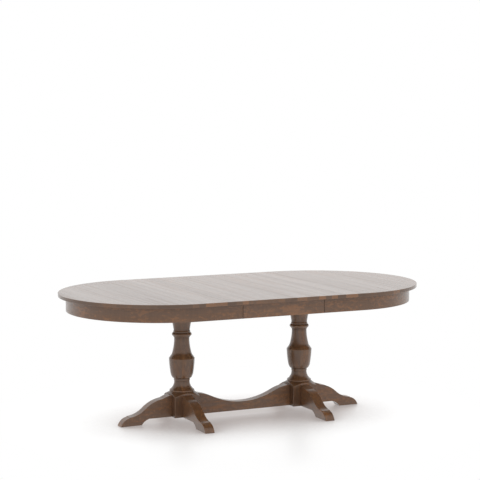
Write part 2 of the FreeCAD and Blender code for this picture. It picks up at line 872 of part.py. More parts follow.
def half_top_blank(side, turn):
    """The left half's board: half-round end, eased edges, holes for the other's pins."""
    body = new_body("top_blank_" + side)
    bulge = end_radius * QUARTER_BULGE_SHARE
    points = [
        (-seam_x, -end_radius),
        (-seam_x, end_radius),
        (-end_centre_x, end_radius, bulge),
        (-end_centre_x - end_radius, 0, bulge),
        (-end_centre_x, -end_radius),
    ]
    pad(body, outline(sketch_on(body, "XY_Plane", top_underside), points), s.top_thickness)
    dress(body, "Fillet", "Radius", s.top_edge_round, lambda edge: is_level(edge) and not in_seam(edge))
    dress(body, "Chamfer", "Size", s.seam_chamfer, is_seam_lip)
    holes = sketch_on(body, "YZ_Plane", -seam_x)
    for number in (-1, 0, 1):
        y = number * s.pin_pitch - s.pin_shift
        circle(holes, y, pin_level, s.pin_radius + s.pin_clearance)
    cut_away(body, "Pocket", holes, Length=s.pin_proud + s.pin_clearance)
    return place(body, angle=turn)


def is_level(edge):
    """Whether an edge lies level."""
    return abs(edge.Vertexes[0].Point.z - edge.Vertexes[-1].Point.z) < MATCH


def in_seam(edge):
    """Whether an edge lies in a seam of the top."""
    reach = s.seam_clearance.value + s.seam_chamfer.value + MATCH
    places = [vertex.Point.x for vertex in edge.Vertexes]
    level_with_seam = all(abs(abs(place_x) - seam_x.value) < reach for place_x in places)
    return level_with_seam and abs(places[0] - places[-1]) < MATCH


def is_seam_lip(edge):
    """Whether an edge is the straight upper lip of a seam."""
    straight = abs(edge.Vertexes[0].Point.y - edge.Vertexes[-1].Point.y) > end_radius.value
    return straight and in_seam(edge) and abs(edge.Vertexes[0].Point.z - s.table_height.value) < MATCH


def half_apron(side, turn):
    """A bent apron: two straight runs and a half-round end."""
    body = new_body("apron_" + side)
    inner_bulge = -apron_inner * QUARTER_BULGE_SHARE
    outer_bulge = apron_outer * QUARTER_BULGE_SHARE
    points = [
        (-seam_x, -apron_outer),
        (-seam_x, -apron_inner),
        (-end_centre_x, -apron_inner, inner_bulge),
        (-end_centre_x - apron_inner, 0, inner_bulge),
        (-end_centre_x, apron_inner),
        (-seam_x, apron_inner),
        (-seam_x, apron_outer),
        (-end_centre_x, apron_outer, outer_bulge),
        (-end_centre_x - apron_outer, 0, outer_bulge),
        (-end_centre_x, -apron_outer),
    ]
    pad(body, outline(sketch_on(body, "XY_Plane", apron_foot), points), s.apron_height)
    dress(body, "Chamfer", "Size", s.apron_end_chamfer, is_apron_corner)
    return keep("apron_" + side, place(body, angle=turn))


def is_apron_corner(edge):
    """Whether an edge is an outer upright corner of an apron's end."""
    point = edge.Vertexes[0].Point
    return is_upright(edge) and in_seam(edge) and abs(abs(point.y) - apron_outer.value) < MATCH


def glue_blocks(side, turn):
    """Blocks in the corner between a half's apron and its board."""
    blocks = []
    for hand in SIDES:
        low_y = apron_inner - s.block_side if hand > 0 else -apron_inner
        middle_x = -(seam_x + end_centre_x) / 2 - s.block_length / 2
        foot = top_underside - s.block_side
        blocks.append(board(s.block_length, s.block_side, s.block_side, middle_x, low_y, foot))
    face = root(apron_inner * apron_inner - s.block_length * s.block_length / 4)
    count = 5
    for number in range(count):
        angle = math.radians(90 + 180 * (number + 0.5) / count)
        out_x = face - s.block_side
        x = -end_centre_x + out_x * math.cos(angle) + s.block_length / 2 * math.sin(angle)
        y = out_x * math.sin(angle) - s.block_length / 2 * math.cos(angle)
        foot = top_underside - s.block_side
        blocks.append(board(s.block_side, s.block_length, s.block_side, x, y, foot, math.degrees(angle)))
    return keep("glue_blocks_" + side, group("glue_blocks_" + side, blocks, turn=turn))


def slide_rail(label, hand, turn, fittings):
    """A slide rail for the back of the left (-1) or right (1) half, with its tongue."""
    body = new_body(label + "_blank")
    tip_y = rail_outer_y - s.groove_depth + s.slide_clearance
    neck = s.groove_mouth / 2 - s.slide_clearance
    tip = s.groove_width / 2 - s.slide_clearance * 1.5
    points = [
        (slide_inner_y, slide_foot),
        (slide_outer_y, slide_foot),
        (slide_outer_y, top_underside),
        (slide_inner_y, top_underside),
        (slide_inner_y, groove_level + neck),
        (tip_y, groove_level + tip),
        (tip_y, groove_level - tip),
        (slide_inner_y, groove_level - neck),
    ]
    sketch = outline(sketch_on(body, "YZ_Plane", hand * slide_inner_x), points)
    pad(body, sketch, slide_length, backward=hand < 0)
    place(body, angle=turn)
    return seated(label, body, fittings)


def half_fasteners(side, turn):
    """Screws, stop pins and seam pins of the left half."""
    parts = []
    slide_y = (slide_inner_y + slide_outer_y) / 2
    rail_screws_in_row = 4
    first_x = slide_inner_x + s.screw_margin * 2
    last_x = slide_outer_x - s.screw_margin
    for number in range(rail_screws_in_row):
        x = -(first_x + (last_x - first_x) * number / (rail_screws_in_row - 1))
        for across in SIDES:
            parts += screw(x, across * slide_y, slide_foot, s.slide_height + s.screw_bite)
    for across in SIDES:
        y = across * (s.batten_length / 2 - s.screw_margin)
        parts += screw(-batten_x - s.batten_width / 2, y, batten_foot, s.batten_thickness + s.screw_bite)
    for along in SIDES:
        x = -rack_block_x - s.rack_block_length / 2 + along * s.rack_block_length / 4
        parts += screw(x, rack_screw_y, rack_foot, top_underside - rack_foot + s.screw_bite)
    screws = keep("top_screws_" + side, fused_group("top_screws_" + side, parts, turn=turn))
    stops = []
    stop_length = s.rail_width + s.slide_clearance + s.stop_pin_reach
    for across in SIDES:
        y = across * slide_outer_y
        inward = across * 90
        stops.append(rod(s.stop_pin_radius, stop_length, -stop_pin_x, y, stop_pin_level, (1, 0, 0), inward))
    stop_pins = keep("stop_pins_" + side, group("stop_pins_" + side, stops, turn=turn))
    pins = []
    for number in (-1, 0, 1):
        y = number * s.pin_pitch + s.pin_shift
        length = s.pin_seat + s.pin_proud
        pins.append(rod(s.pin_radius, length, -seam_x - s.pin_seat, y, pin_level, (0, 1, 0), 90))
    seam_pins = keep("seam_pins_" + side, group("seam_pins_" + side, pins, turn=turn))
    return screws, stop_pins, seam_pins


def rack_block(side, turn, fittings):
    """The block that hangs a rack under its half."""
    low_x = -rack_block_x - s.rack_block_length
    low_y = rack_screw_y - s.rack_block_width / 2
    height = top_underside - rack_top
    block = board(s.rack_block_length, s.rack_block_width, height, low_x, low_y, rack_top)
    return seated("rack_block_" + side, group("rack_block_blank_" + side, [block], turn=turn), fittings)


def end_batten(side, turn, fittings):
    """The batten that keeps the round end of a half flat."""
    low_x = -batten_x - s.batten_width
    low_y = -s.batten_length / 2
    batten = board(s.batten_width, s.batten_length, s.batten_thickness, low_x, low_y, batten_foot)
    return seated("end_batten_" + side, group("end_batten_blank_" + side, [batten], turn=turn), fittings)


def half(side, turn):
    """Every piece of one half of the top."""
    screws, stop_pins, seam_pins = half_fasteners(side, turn)
    seated("top_" + side, half_top_blank(side, turn), [screws, seam_pins])
    half_apron(side, turn)
    glue_blocks(side, turn)
    back, front = ("back", "front") if turn == 0 else ("front", "back")
    slide_rail("slide_%s_%s" % (side, back), -1, turn, [screws, stop_pins])
    slide_rail("slide_%s_%s" % (side, front), 1, turn + 180, [screws, stop_pins])
    seated("rack_" + side, rack_blank("rack_blank_" + side, turn), [screws])
    rack_block(side, turn, [screws])
    end_batten(side, turn, [screws])


def leaf_board():
    """The leaf's board, with slots open below for the halves' pins."""
    body = new_body("leaf")
    edge_x = seam_x - s.seam_clearance
    points = rectangle(-edge_x, -end_radius, edge_x, end_radius)
    pad(body, outline(sketch_on(body, "XY_Plane", top_underside), points), s.top_thickness)
    dress(body, "Fillet", "Radius", s.top_edge_round, lambda edge: is_level(edge) and not in_seam(edge))
    dress(body, "Chamfer", "Size", s.seam_chamfer, is_seam_lip)
    slot_half = s.pin_radius + s.pin_clearance
    slot_x = seam_x - s.pin_proud - s.pin_clearance
    slots = sketch_on(body, "XY_Plane", top_underside)
    for hand in SIDES:
        for number in (-1, 0, 1):
            y = number * s.pin_pitch - hand * s.pin_shift
            low_x, high_x = (slot_x, seam_x) if hand > 0 else (-seam_x, -slot_x)
            outline(slots, rectangle(low_x, y - slot_half, high_x, y + slot_half))
    depth = pin_level + slot_half - top_underside
    cut_away(body, "Pocket", slots, Length=depth, Reversed=True)
    return keep("leaf", body)


def leaf_apron(label, turn):
    """One straight length of apron under the leaf; drawn for the front."""
    body = new_body(label)
    edge_x = seam_x - s.seam_clearance
    points = rectangle(-edge_x, -apron_outer, edge_x, -apron_inner)
    pad(body, outline(sketch_on(body, "XY_Plane", apron_foot), points), s.apron_height)
    dress(body, "Chamfer", "Size", s.apron_end_chamfer, is_apron_corner)
    return keep(label, place(body, angle=turn))


def leaf_blocks():
    """Blocks in the corner between the leaf's aprons and its board."""
    blocks = []
    foot = top_underside - s.block_side
    for low_y in (-apron_inner, apron_inner - s.block_side):
        for middle in (-seam_x / 2, seam_x / 2):
            low_x = middle - s.block_length / 2
            blocks.append(board(s.block_length, s.block_side, s.block_side, low_x, low_y, foot))
    return keep("leaf_blocks", group("leaf_blocks", blocks))


def bearer(side, x, fittings):
    """The cross board on top of a column."""
    low_x = x - s.bearer_width / 2
    low_y = -s.bearer_length / 2
    blank = board(s.bearer_width, s.bearer_length, s.bearer_thickness, low_x, low_y, column_top)
    return seated("bearer_" + side, blank, fittings)


def pedestal(side, x, turn, top_screws):
    """A hub with its column, its three feet, what joins them, and its bearer."""
    dowels = foot_dowels(side, x)
    bolts = hanger_bolts(side, x)
    hanger_nuts(side, x, bolts)
    glides = foot_glides(side, x, turn)
    seated("hub_" + side, hub_blank(side, x), [dowels, bolts])
    seated("column_" + side, column_blank(side, x), top_screws[:1])
    for position, foot_turn in (("outer", 180 + turn), ("front", 270), ("back", 90)):
        label = "foot_%s_%s" % (side, position)
        seated(label, foot_blank(label + "_blank", x, foot_turn), [dowels, bolts, glides])
    bearer(side, x, top_screws)
    return [dowels, bolts]


def bridge(fittings):
    """The cross board under the fixed rails that carries the gear."""
    low_x = -s.bridge_width / 2
    low_y = -rail_outer_y
    blank = board(s.bridge_width, rail_outer_y * 2, s.bridge_thickness, low_x, low_y, bridge_foot)
    return seated("bridge", blank, fittings)


# The base, from the floor up

bearer_fasteners = [column_screws(), rail_screws()]
hub_fittings = pedestal("left", -pedestal_x, 0, bearer_fasteners)
hub_fittings += pedestal("right", pedestal_x, 180, bearer_fasteners)
seated("stretcher", stretcher_blank(), hub_fittings)
fixed_rail("rail_fixed_back", 0, bearer_fasteners[1:])
fixed_rail("rail_fixed_front", 180, bearer_fasteners[1:])
bridge([axle_pieces()] + bearer_fasteners[1:])
rack_guides()
pinion()

# The top

half("left", 0)
half("right", 180)
leaf_board()
leaf_apron("leaf_apron_front", 0)
leaf_apron("leaf_apron_back", 180)
leaf_blocks()

# Check and write

doc.recompute()
for thing in doc.Objects:
    if "Invalid" in thing.State or "Error" in thing.State:
        raise RuntimeError(thing.Label + " is " + ", ".join(thing.State))
os.makedirs("parts", exist_ok=True)
for label, thing in nodes.items():
    shape = thing.Shape
    if shape.isNull() or not shape.isValid() or not shape.Solids:
        raise RuntimeError(label + " has no sound solid")
    shape.exportStep("parts/%s.step" % label)
    box = shape.optimalBoundingBox()
    print("%-20s %2d solids %12.1f mm3  x %8.1f %8.1f  y %7.1f %7.1f  z %6.1f %6.1f" % (
        label, len(shape.Solids), shape.Volume, box.XMin, box.XMax, box.YMin, box.YMax, box.ZMin, box.ZMax))
print(len(nodes), "pieces")
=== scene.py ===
"""An oval extension table: two turned pedestals, a stretcher, a top in two halves and a leaf.

Lengths are in metres. The wooden pieces that show are surfaces worked out here, on the places
that the frame gives. Each carries a map of its grain, of its worn edges and of its recesses,
which hold soaked-in stain and painted shade, and its finish reads it. The pieces of the
running gear keep their solids and get a finish.
"""

import logging
import math
from dataclasses import dataclass
from enum import Enum
from typing import Callable, Iterable, Sequence

import bmesh
import bpy
import numpy as np
from numpy.typing import NDArray
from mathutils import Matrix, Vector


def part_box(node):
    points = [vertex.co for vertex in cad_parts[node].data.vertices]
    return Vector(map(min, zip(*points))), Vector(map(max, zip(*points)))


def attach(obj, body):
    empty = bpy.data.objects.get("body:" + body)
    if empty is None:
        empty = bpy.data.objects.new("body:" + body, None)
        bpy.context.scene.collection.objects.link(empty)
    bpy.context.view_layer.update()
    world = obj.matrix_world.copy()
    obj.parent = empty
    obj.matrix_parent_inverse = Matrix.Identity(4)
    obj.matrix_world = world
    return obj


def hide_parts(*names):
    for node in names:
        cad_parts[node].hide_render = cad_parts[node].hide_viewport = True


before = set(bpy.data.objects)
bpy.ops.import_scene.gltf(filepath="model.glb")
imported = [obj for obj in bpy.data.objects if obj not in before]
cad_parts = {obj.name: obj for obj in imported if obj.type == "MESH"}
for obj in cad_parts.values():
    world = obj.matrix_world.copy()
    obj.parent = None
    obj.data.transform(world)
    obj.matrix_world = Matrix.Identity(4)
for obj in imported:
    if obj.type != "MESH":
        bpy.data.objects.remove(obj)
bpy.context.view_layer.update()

log = logging.getLogger("oval_table")

Array = NDArray[np.float64]
Colour = tuple[float, float, float]
Range = tuple[float, float]
Grain = Callable[[Array], Array]

X_AXIS, Y_AXIS, Z_AXIS = np.eye(3)
WHITE = (1.0, 1.0, 1.0)

# Points that lie nearer than this are one, in metres.
MATCH = 1e-6

# How far a quarter circle stands off its chord, in radii.
QUARTER_BULGE_SHARE = 1 - math.sqrt(0.5)

# How far the wear of an edge fades in over the faces beside it, in metres.
WEAR_REACH = 0.0025

# Turns rows of (x, y, height, wear) upside down.
DOWNWARD = (1, 1, -1, 1)

# A figure that is moved on along the grain moves through it this many times less far.
FIGURE_SLANT = 7


class Along(Enum):
    """Which way the grain of a planed piece runs."""

    LENGTH = "x"
    WIDTH = "y"


@dataclass(frozen=True)
class Scatter:
    """How one kind of mark is scattered over a surface by noise.

    The rate is in changes per metre along each axis. The detail is how many finer layers
    lie over the first, and the roughness is how strong they are.
    """

    rate: tuple[float, float, float]
    detail: float
    rough: float = 0.5


# Shader maths


class Wire:
    """A value on its way through a shader, on which sums are written as expressions."""

    def __init__(self, bench: "Bench", socket: bpy.types.NodeSocket) -> None:
        """Wrap one output socket of the bench's node tree."""
        self.bench = bench
        self.socket = socket

    def maths(self, operation: str, *terms: object) -> "Wire":
        """Send this value, or the terms given, through one Math node.

        Args:
            operation: the Math node's operation.
            terms: its inputs in order, wires or numbers.

        Returns:
            The node's result.
        """
        return self.bench.add("ShaderNodeMath", {"operation": operation}, dict(enumerate(terms)))

    def __add__(self, other: object) -> "Wire":
        """This value plus another."""
        return self.maths("ADD", self, other)

    def __sub__(self, other: object) -> "Wire":
        """This value less another."""
        return self.maths("SUBTRACT", self, other)

    def __rsub__(self, other: object) -> "Wire":
        """Another value less this one."""
        return self.maths("SUBTRACT", other, self)

    def __mul__(self, other: object) -> "Wire":
        """This value times another."""
        return self.maths("MULTIPLY", self, other)

    def __truediv__(self, other: object) -> "Wire":
        """This value over another."""
        return self.maths("DIVIDE", self, other)

    def __rtruediv__(self, other: object) -> "Wire":
        """Another value over this one."""
        return self.maths("DIVIDE", other, self)

    def __pow__(self, other: object) -> "Wire":
        """This value to a power."""
        return self.maths("POWER", self, other)

    def __rpow__(self, other: object) -> "Wire":
        """Another value to the power of this one."""
        return self.maths("POWER", other, self)

    __radd__ = __add__
    __rmul__ = __mul__

    def floor(self) -> "Wire":
        """The whole number below this value."""
        return self.maths("FLOOR", self)

    def part(self) -> "Wire":
        """What is left of this value above a whole number."""
        return self.maths("FRACT", self)

    def size(self) -> "Wire":
        """This value without its sign."""
        return self.maths("ABSOLUTE", self)

    def root(self) -> "Wire":
        """The square root of this value."""
        return self.maths("SQRT", self)

    def sine(self) -> "Wire":
        """The sine of this value, in radians."""
        return self.maths("SINE", self)

    def swing(self) -> "Wire":
        """This value about its middle, a half."""
        return self - 0.5

    def ramp(self, low: float, high: float) -> "Wire":
        """This value brought from a range to 0 and 1, with soft ends.

        Args:
            low: the value that becomes 0.
            high: the value that becomes 1; it may be the lower of the two.

        Returns:
            The smoothed share, never outside 0 and 1.
        """
        settings = {"interpolation_type": "SMOOTHSTEP"}
        return self.bench.add("ShaderNodeMapRange", settings, {0: self, 1: low, 2: high})


class Bench:
    """A material's node tree, and the one way in which nodes are added to it."""

    def __init__(self, tree: bpy.types.NodeTree) -> None:
        """Clear the tree."""
        self.tree = tree
        tree.nodes.clear()

    def add(self, kind: str, settings: dict[str, object] | None = None,
            sockets: dict[int | str, object] | None = None, out: int | str = 0) -> Wire | None:
        """Add one node.

        Args:
            kind: the node's type.
            settings: its properties, which are set first.
            sockets: values or wires for its inputs, by number or name.
            out: the output that is wanted.

        Returns:
            The wanted output as a wire, or None from a node that has no outputs.
        """
        node = self.tree.nodes.new(kind)
        for name, value in (settings or {}).items():
            setattr(node, name, value)
        for key, value in (sockets or {}).items():
            if isinstance(value, Wire):
                self.tree.links.new(value.socket, node.inputs[key])
            elif value is not None:
                node.inputs[key].default_value = value
        return Wire(self, node.outputs[out]) if node.outputs else None

    def split(self, vector: Wire) -> tuple[Wire, Wire, Wire]:
        """The three parts of a vector or colour."""
        parts = self.add("ShaderNodeSeparateXYZ", None, {0: vector})
        return tuple(Wire(self, socket) for socket in parts.socket.node.outputs)

    def join(self, x: object, y: object, z: object) -> Wire:
        """A vector of three parts."""
        return self.add("ShaderNodeCombineXYZ", None, {0: x, 1: y, 2: z})

    def vector(self, operation: str, first: object, second: object) -> Wire:
        """One Vector Math node on two vectors; a scale takes a number second."""
        key = "Scale" if operation == "SCALE" else 1
        return self.add("ShaderNodeVectorMath", {"operation": operation}, {0: first, key: second})

    def blend(self, share: object, first: object, second: Colour) -> Wire:
        """Mix two colours.

        Args:
            share: how much of the second colour, 0 to 1.
            first: a colour or a wire.
            second: a colour.

        Returns:
            The mixed colour.
        """
        under = first if isinstance(first, Wire) else (*first, 1.0)
        sockets = {0: share, 6: under, 7: (*second, 1.0)}
        return self.add("ShaderNodeMix", {"data_type": "RGBA"}, sockets, 2)

    def noise(self, place: Wire, kind: Scatter) -> Wire:
        """Smooth noise at a place, which swings about a half.

        Args:
            place: the place.
            kind: how the marks are scattered.

        Returns:
            The noise, from 0 to 1.
        """
        scaled = self.vector("MULTIPLY", place, kind.rate)
        sockets = {"Vector": scaled, "Scale": 1.0, "Detail": kind.detail, "Roughness": kind.rough}
        return self.add("ShaderNodeTexNoise", None, sockets)

    def spot(self) -> Wire:
        """The place on the object itself."""
        return self.add("ShaderNodeTexCoord", None, None, "Object")

    def surface(self, kind: str, colour: Colour, **sockets: float) -> Wire:
        """One shader node of a plain colour; the keywords name its other sockets."""
        named = {name.title(): value for name, value in sockets.items()}
        return self.add(kind, None, {"Color": (*colour, 1.0), **named})

    def cover(self, share: object, first: Wire, second: Wire) -> Wire:
        """Mix two shaders; the share is the second one's."""
        return self.add("ShaderNodeMixShader", None, {0: share, 1: first, 2: second})


def new_material(name: str) -> tuple[bpy.types.Material, Bench]:
    """Make a material.

    Args:
        name: the material's name.

    Returns:
        The material and the empty bench of its nodes.
    """
    material = bpy.data.materials.new(name)
    material.use_nodes = True
    return material, Bench(material.node_tree)


def finish_surface(bench: Bench, sockets: dict[int | str, object], height: Wire,
                   depth: float) -> None:
    """Close a bench with one glossy shader and its bump.

    Args:
        bench: the bench.
        sockets: what the shader's inputs take.
        height: the relief, from 0 to 1.
        depth: how high a relief of 1 stands, in metres.
    """
    bump = bench.add("ShaderNodeBump", None, {"Strength": 1.0, "Distance": depth, "Height": height})
    shader = bench.add("ShaderNodeBsdfPrincipled", None, {**sockets, "Normal": bump})
    bench.add("ShaderNodeOutputMaterial", None, {"Surface": shader})


# Finishes


@dataclass(frozen=True)
class StainedBirch:
    """Birch under a brown stain that takes unevenly, beneath a film of satin lacquer.

    A board's rings are circles about a pith that lies under it at a place, a depth and a
    slant of its own, so a face cut through them shows arches and lines as sawn wood does.
    The film is a coat of its own over the wood, and it lies thinner on the open streaks.
    """

    name: str
    board: float = 1.0
    joint_shift: float = 0.0
    unevenness: float = 0.0
    # How light the stain is as a whole: the wood's tone, and partly painted light, darker on the top's
    # face under the softbox and lighter on the aprons and sawn boards in place of a lamp from the
    # front.
    tone_and_painted_light: float = 1.0
    figure: float = 1.0
    mottle: float = 1.0
    seed: float = 0.0

    # The stain's four colours.
    brown: Colour = (0.100, 0.048, 0.022)
    orange: Colour = (0.200, 0.084, 0.028)
    dark: Colour = (0.038, 0.017, 0.007)
    bare: Colour = (0.240, 0.130, 0.066)

    # How the marks are scattered along, across and through the grain.
    fibres: Scatter = Scatter((9.0, 620.0, 620.0), 3.0, 0.65)
    streaks: Scatter = Scatter((0.9, 52.0, 52.0), 3.0, 0.55)
    swirls: Scatter = Scatter((1.6, 11.0, 11.0), 2.0, 0.55)
    clouds: Scatter = Scatter((7.0, 15.0, 15.0), 2.0)
    flecks: Scatter = Scatter((42.0, 78.0, 78.0), 3.0, 0.68)
    curls: Scatter = Scatter((95.0, 14.0, 14.0), 1.0)

    # The boards: how many one swell of their widths takes, how far each one's figure is
    # moved on, and the joint's dark line, by how far it reaches in and how dark it is.
    swell_boards: float = 5.3
    figure_step: float = 3.0
    line_from: float = 0.0006
    line_full: float = 0.0002
    line_dark: float = 0.35

    # The rings, and where the pith lies: to the side, below the face, and how it slants.
    ring: float = 0.0042
    ring_swirl: float = 0.030
    late_power: float = 3.0
    pith_aside: float = 0.09
    pith_slant: float = 0.05
    pith_least: float = 0.025
    pith_depth: float = 0.08
    pith_dip: float = 0.10

    # What turns orange: blotches of flecks and clouds, streaks, and strips of end grain.
    tone_swing: float = 0.10
    fleck_share: float = 0.62
    blotch_ramp: Range = (0.50, 0.62)
    blotch_orange: float = 0.62
    streak_ramp: Range = (0.48, 0.70)
    streak_orange: float = 0.30
    end_contrast: float = 0.22
    end_fleck: float = 0.25
    end_ramp: Range = (-0.02, 0.14)

    # What turns dark: late wood, fibres, curl, and recesses, which hold soaked-in stain at the aprons'
    # ends and painted shade elsewhere.
    late_dark: float = 0.26
    fibre_ramp: Range = (0.42, 0.70)
    fibre_dark: float = 0.26
    curl_ramp: Range = (0.48, 0.66)
    curl_dark: float = 0.12
    stain_and_shade_dark: float = 0.55

    # What is lighter as a whole, partly as painted light, and where the edges are worn to bare wood.
    tone_light: float = 1.2
    streak_light: float = 0.30
    end_tone_and_painted_light: float = 0.0
    wear_ramp: Range = (0.30, 0.60)
    wear_bare: float = 0.22

    # The film, and what thins it: a board's chance, open streaks and fibres, and recesses, where it
    # takes the sheen away as painted shade.
    lacquer: float = 0.97
    film_index: float = 1.56
    film_rough: float = 0.18
    film_swing: float = 0.10
    open_streaks: Range = (0.47, 0.62)
    open_fibres: Range = (0.45, 0.70)
    fibre_share: float = 0.12
    open_thin: float = 0.30
    stain_and_shade_thin: float = 0.4

    # The wood under the film: its gloss, and its relief in metres.
    wood_gloss: float = 0.10
    wood_rough: float = 0.46
    late_rough: float = 0.10
    fibre_rough: float = 0.14
    wear_rough: float = 0.08
    fibre_height: float = 0.6
    relief: float = 0.00002

    def make(self) -> bpy.types.Material:
        """Build the finish.

        Returns:
            The finished material.
        """
        material, bench = new_material(self.name)
        place = bench.add("ShaderNodeAttribute", {"attribute_name": "grain"}, None, "Vector")
        marks = bench.add("ShaderNodeAttribute", {"attribute_name": "marks"}, None, "Vector")
        wear, stain_and_shade, end_grain = bench.split(marks)
        run, across, through = bench.split(place)
        swell = (across * (math.tau / self.board / self.swell_boards)).sine()
        count = (across + swell * self.unevenness + self.joint_shift) / self.board + 0.5
        chance = bench.add("ShaderNodeTexWhiteNoise", {"noise_dimensions": "1D"},
                           {"W": count.floor() + self.seed}, "Color")
        tone, lean, depth = bench.split(chance)
        own = bench.vector("ADD", place, bench.vector("SCALE", chance, self.figure_step))
        middle = count.part().swing() * self.board
        late = self._rings(bench, own, (run, middle, through), (lean, depth))
        fibre = bench.noise(own, self.fibres)
        streak = bench.noise(own, self.streaks)
        colour = self._colour(bench, own, (tone, late, fibre, streak), (wear, stain_and_shade, end_grain))
        half = self.board / 2
        line = middle.size().ramp(half - self.line_from, half - self.line_full) * self.line_dark
        open_wood = (streak.ramp(*self.open_streaks) * (1 - self.fibre_share)
                     + fibre.ramp(*self.open_fibres) * self.fibre_share)
        # The film thins in recesses: painted shade on the sheen.
        coat = (tone.swing() * self.film_swing + self.lacquer
                - open_wood * (self.open_thin * self.figure) - stain_and_shade * self.stain_and_shade_thin)
        gloss = (late * self.late_rough + fibre.swing() * self.fibre_rough + self.wood_rough
                 + wear * self.wear_rough)
        height = fibre * self.fibre_height + late * (1 - self.fibre_height)
        sockets = {"Base Color": bench.blend(line, colour, self.dark), "Roughness": gloss,
                   "Specular IOR Level": self.wood_gloss, "Coat Weight": coat,
                   "Coat Roughness": self.film_rough, "Coat IOR": self.film_index}
        finish_surface(bench, sockets, height, self.relief)
        return material

    def _rings(self, bench: Bench, own: Wire, place: tuple[Wire, Wire, Wire],
               chances: tuple[Wire, Wire]) -> Wire:
        """How near each point lies to the dark late wood of its growth ring, 0 to 1.

        Args:
            bench: the material's bench.
            own: the place, moved on for each board.
            place: how far along the grain, from the board's middle and below its face.
            chances: the board's two chances, for the place of its pith.

        Returns:
            The late wood's strength.
        """
        run, middle, through = place
        lean, depth = chances
        aside = middle - lean.swing() * self.pith_aside + run * lean.swing() * self.pith_slant
        below = (through + depth * self.pith_depth + self.pith_least
                 + run * depth.swing() * self.pith_dip)
        swirl = bench.noise(own, self.swirls).swing() * self.ring_swirl
        distance = (aside * aside + below * below).root() + swirl
        return (distance / self.ring).part() ** self.late_power

    def _colour(self, bench: Bench, own: Wire, figure: tuple[Wire, ...],
                marks: tuple[Wire, Wire, Wire]) -> Wire:
        """Lay the wood's marks over each other as colours.

        Args:
            bench: the material's bench.
            own: the place, moved on for each board.
            figure: the board's tone, its late wood, its fibres and its streaks.
            marks: the worn edges, the stain and painted shade in recesses, and the end grain.

        Returns:
            The stained colour.
        """
        tone, late, fibre, streak = figure
        wear, stain_and_shade, end_grain = marks
        kinds = (self.clouds, self.flecks, self.curls)
        cloud, fleck, curl = (bench.noise(own, kind) for kind in kinds)
        swing = tone.swing() * (end_grain * self.end_contrast + self.tone_swing)
        mixed = fleck * self.fleck_share + cloud * (1 - self.fleck_share) + swing
        blotch = mixed.ramp(*self.blotch_ramp) * (self.blotch_orange * self.mottle)
        band = (streak + swing).ramp(*self.streak_ramp) * (self.streak_orange * self.figure)
        end_swing = swing + fleck.swing() * self.end_fleck
        end_patch = end_swing.ramp(*self.end_ramp) * end_grain * self.end_contrast
        colour = bench.blend(blotch + band + end_patch, self.brown, self.orange)
        # Recesses darken as soaked-in stain at the aprons' ends and as painted shade in holes, slots,
        # hollows and on the hub.
        shade = (late * (self.late_dark * self.figure) + fibre.ramp(*self.fibre_ramp) * self.fibre_dark
                 + curl.ramp(*self.curl_ramp) * (self.curl_dark * self.mottle)
                 + stain_and_shade * self.stain_and_shade_dark)
        colour = bench.blend(shade, colour, self.dark)
        light = (swing * self.tone_light + streak.swing() * (self.streak_light * self.figure)
                 + self.tone_and_painted_light + end_grain * self.end_tone_and_painted_light)
        colour = bench.vector("SCALE", colour, light)
        return bench.blend(wear * fibre.ramp(*self.wear_ramp) * self.wear_bare, colour, self.bare)


@dataclass(frozen=True)
class PlanedBirch:
    """Bare planed birch, for what is out of sight: pale, with its rings and fibres."""

    name: str
    along: Along
    pale: Colour = (0.520, 0.370, 0.215)
    late_wood: Colour = (0.330, 0.195, 0.095)
    seed: float = 3.0
    swirls: Scatter = Scatter((1.5, 12.0, 12.0), 2.0)
    fibres: Scatter = Scatter((12.0, 700.0, 700.0), 3.0, 0.6)
    patches: Scatter = Scatter((5.0, 22.0, 22.0), 3.0)
    ring: float = 0.0038
    ring_slant: float = 0.03
    ring_swirl: float = 0.02
    late_power: float = 3.0
    late_dark: float = 0.45
    fibre_ramp: Range = (0.45, 0.75)
    fibre_dark: float = 0.30
    patch_dark: float = 0.3
    wood_rough: float = 0.55
    fibre_rough: float = 0.2
    fibre_height: float = 0.6
    relief: float = 0.00008

    def make(self) -> bpy.types.Material:
        """Build the finish.

        Returns:
            The finished material.
        """
        material, bench = new_material(self.name)
        x, y, z = bench.split(bench.spot())
        run, across, through = (x, z, y) if self.along is Along.LENGTH else (y, x, z)
        place = bench.join(run, across, through + self.seed)
        kinds = (self.swirls, self.fibres, self.patches)
        swirl, fibre, patch = (bench.noise(place, kind) for kind in kinds)
        distance = ((across * across + through * through).root() + run * self.ring_slant
                    + swirl.swing() * self.ring_swirl)
        late = (distance / self.ring).part() ** self.late_power
        dark = (late * self.late_dark + fibre.ramp(*self.fibre_ramp) * self.fibre_dark
                + patch.swing() * self.patch_dark)
        sockets = {"Base Color": bench.blend(dark, self.pale, self.late_wood),
                   "Roughness": fibre * self.fibre_rough + self.wood_rough}
        height = fibre * self.fibre_height + late * (1 - self.fibre_height)
        finish_surface(bench, sockets, height, self.relief)
        return material


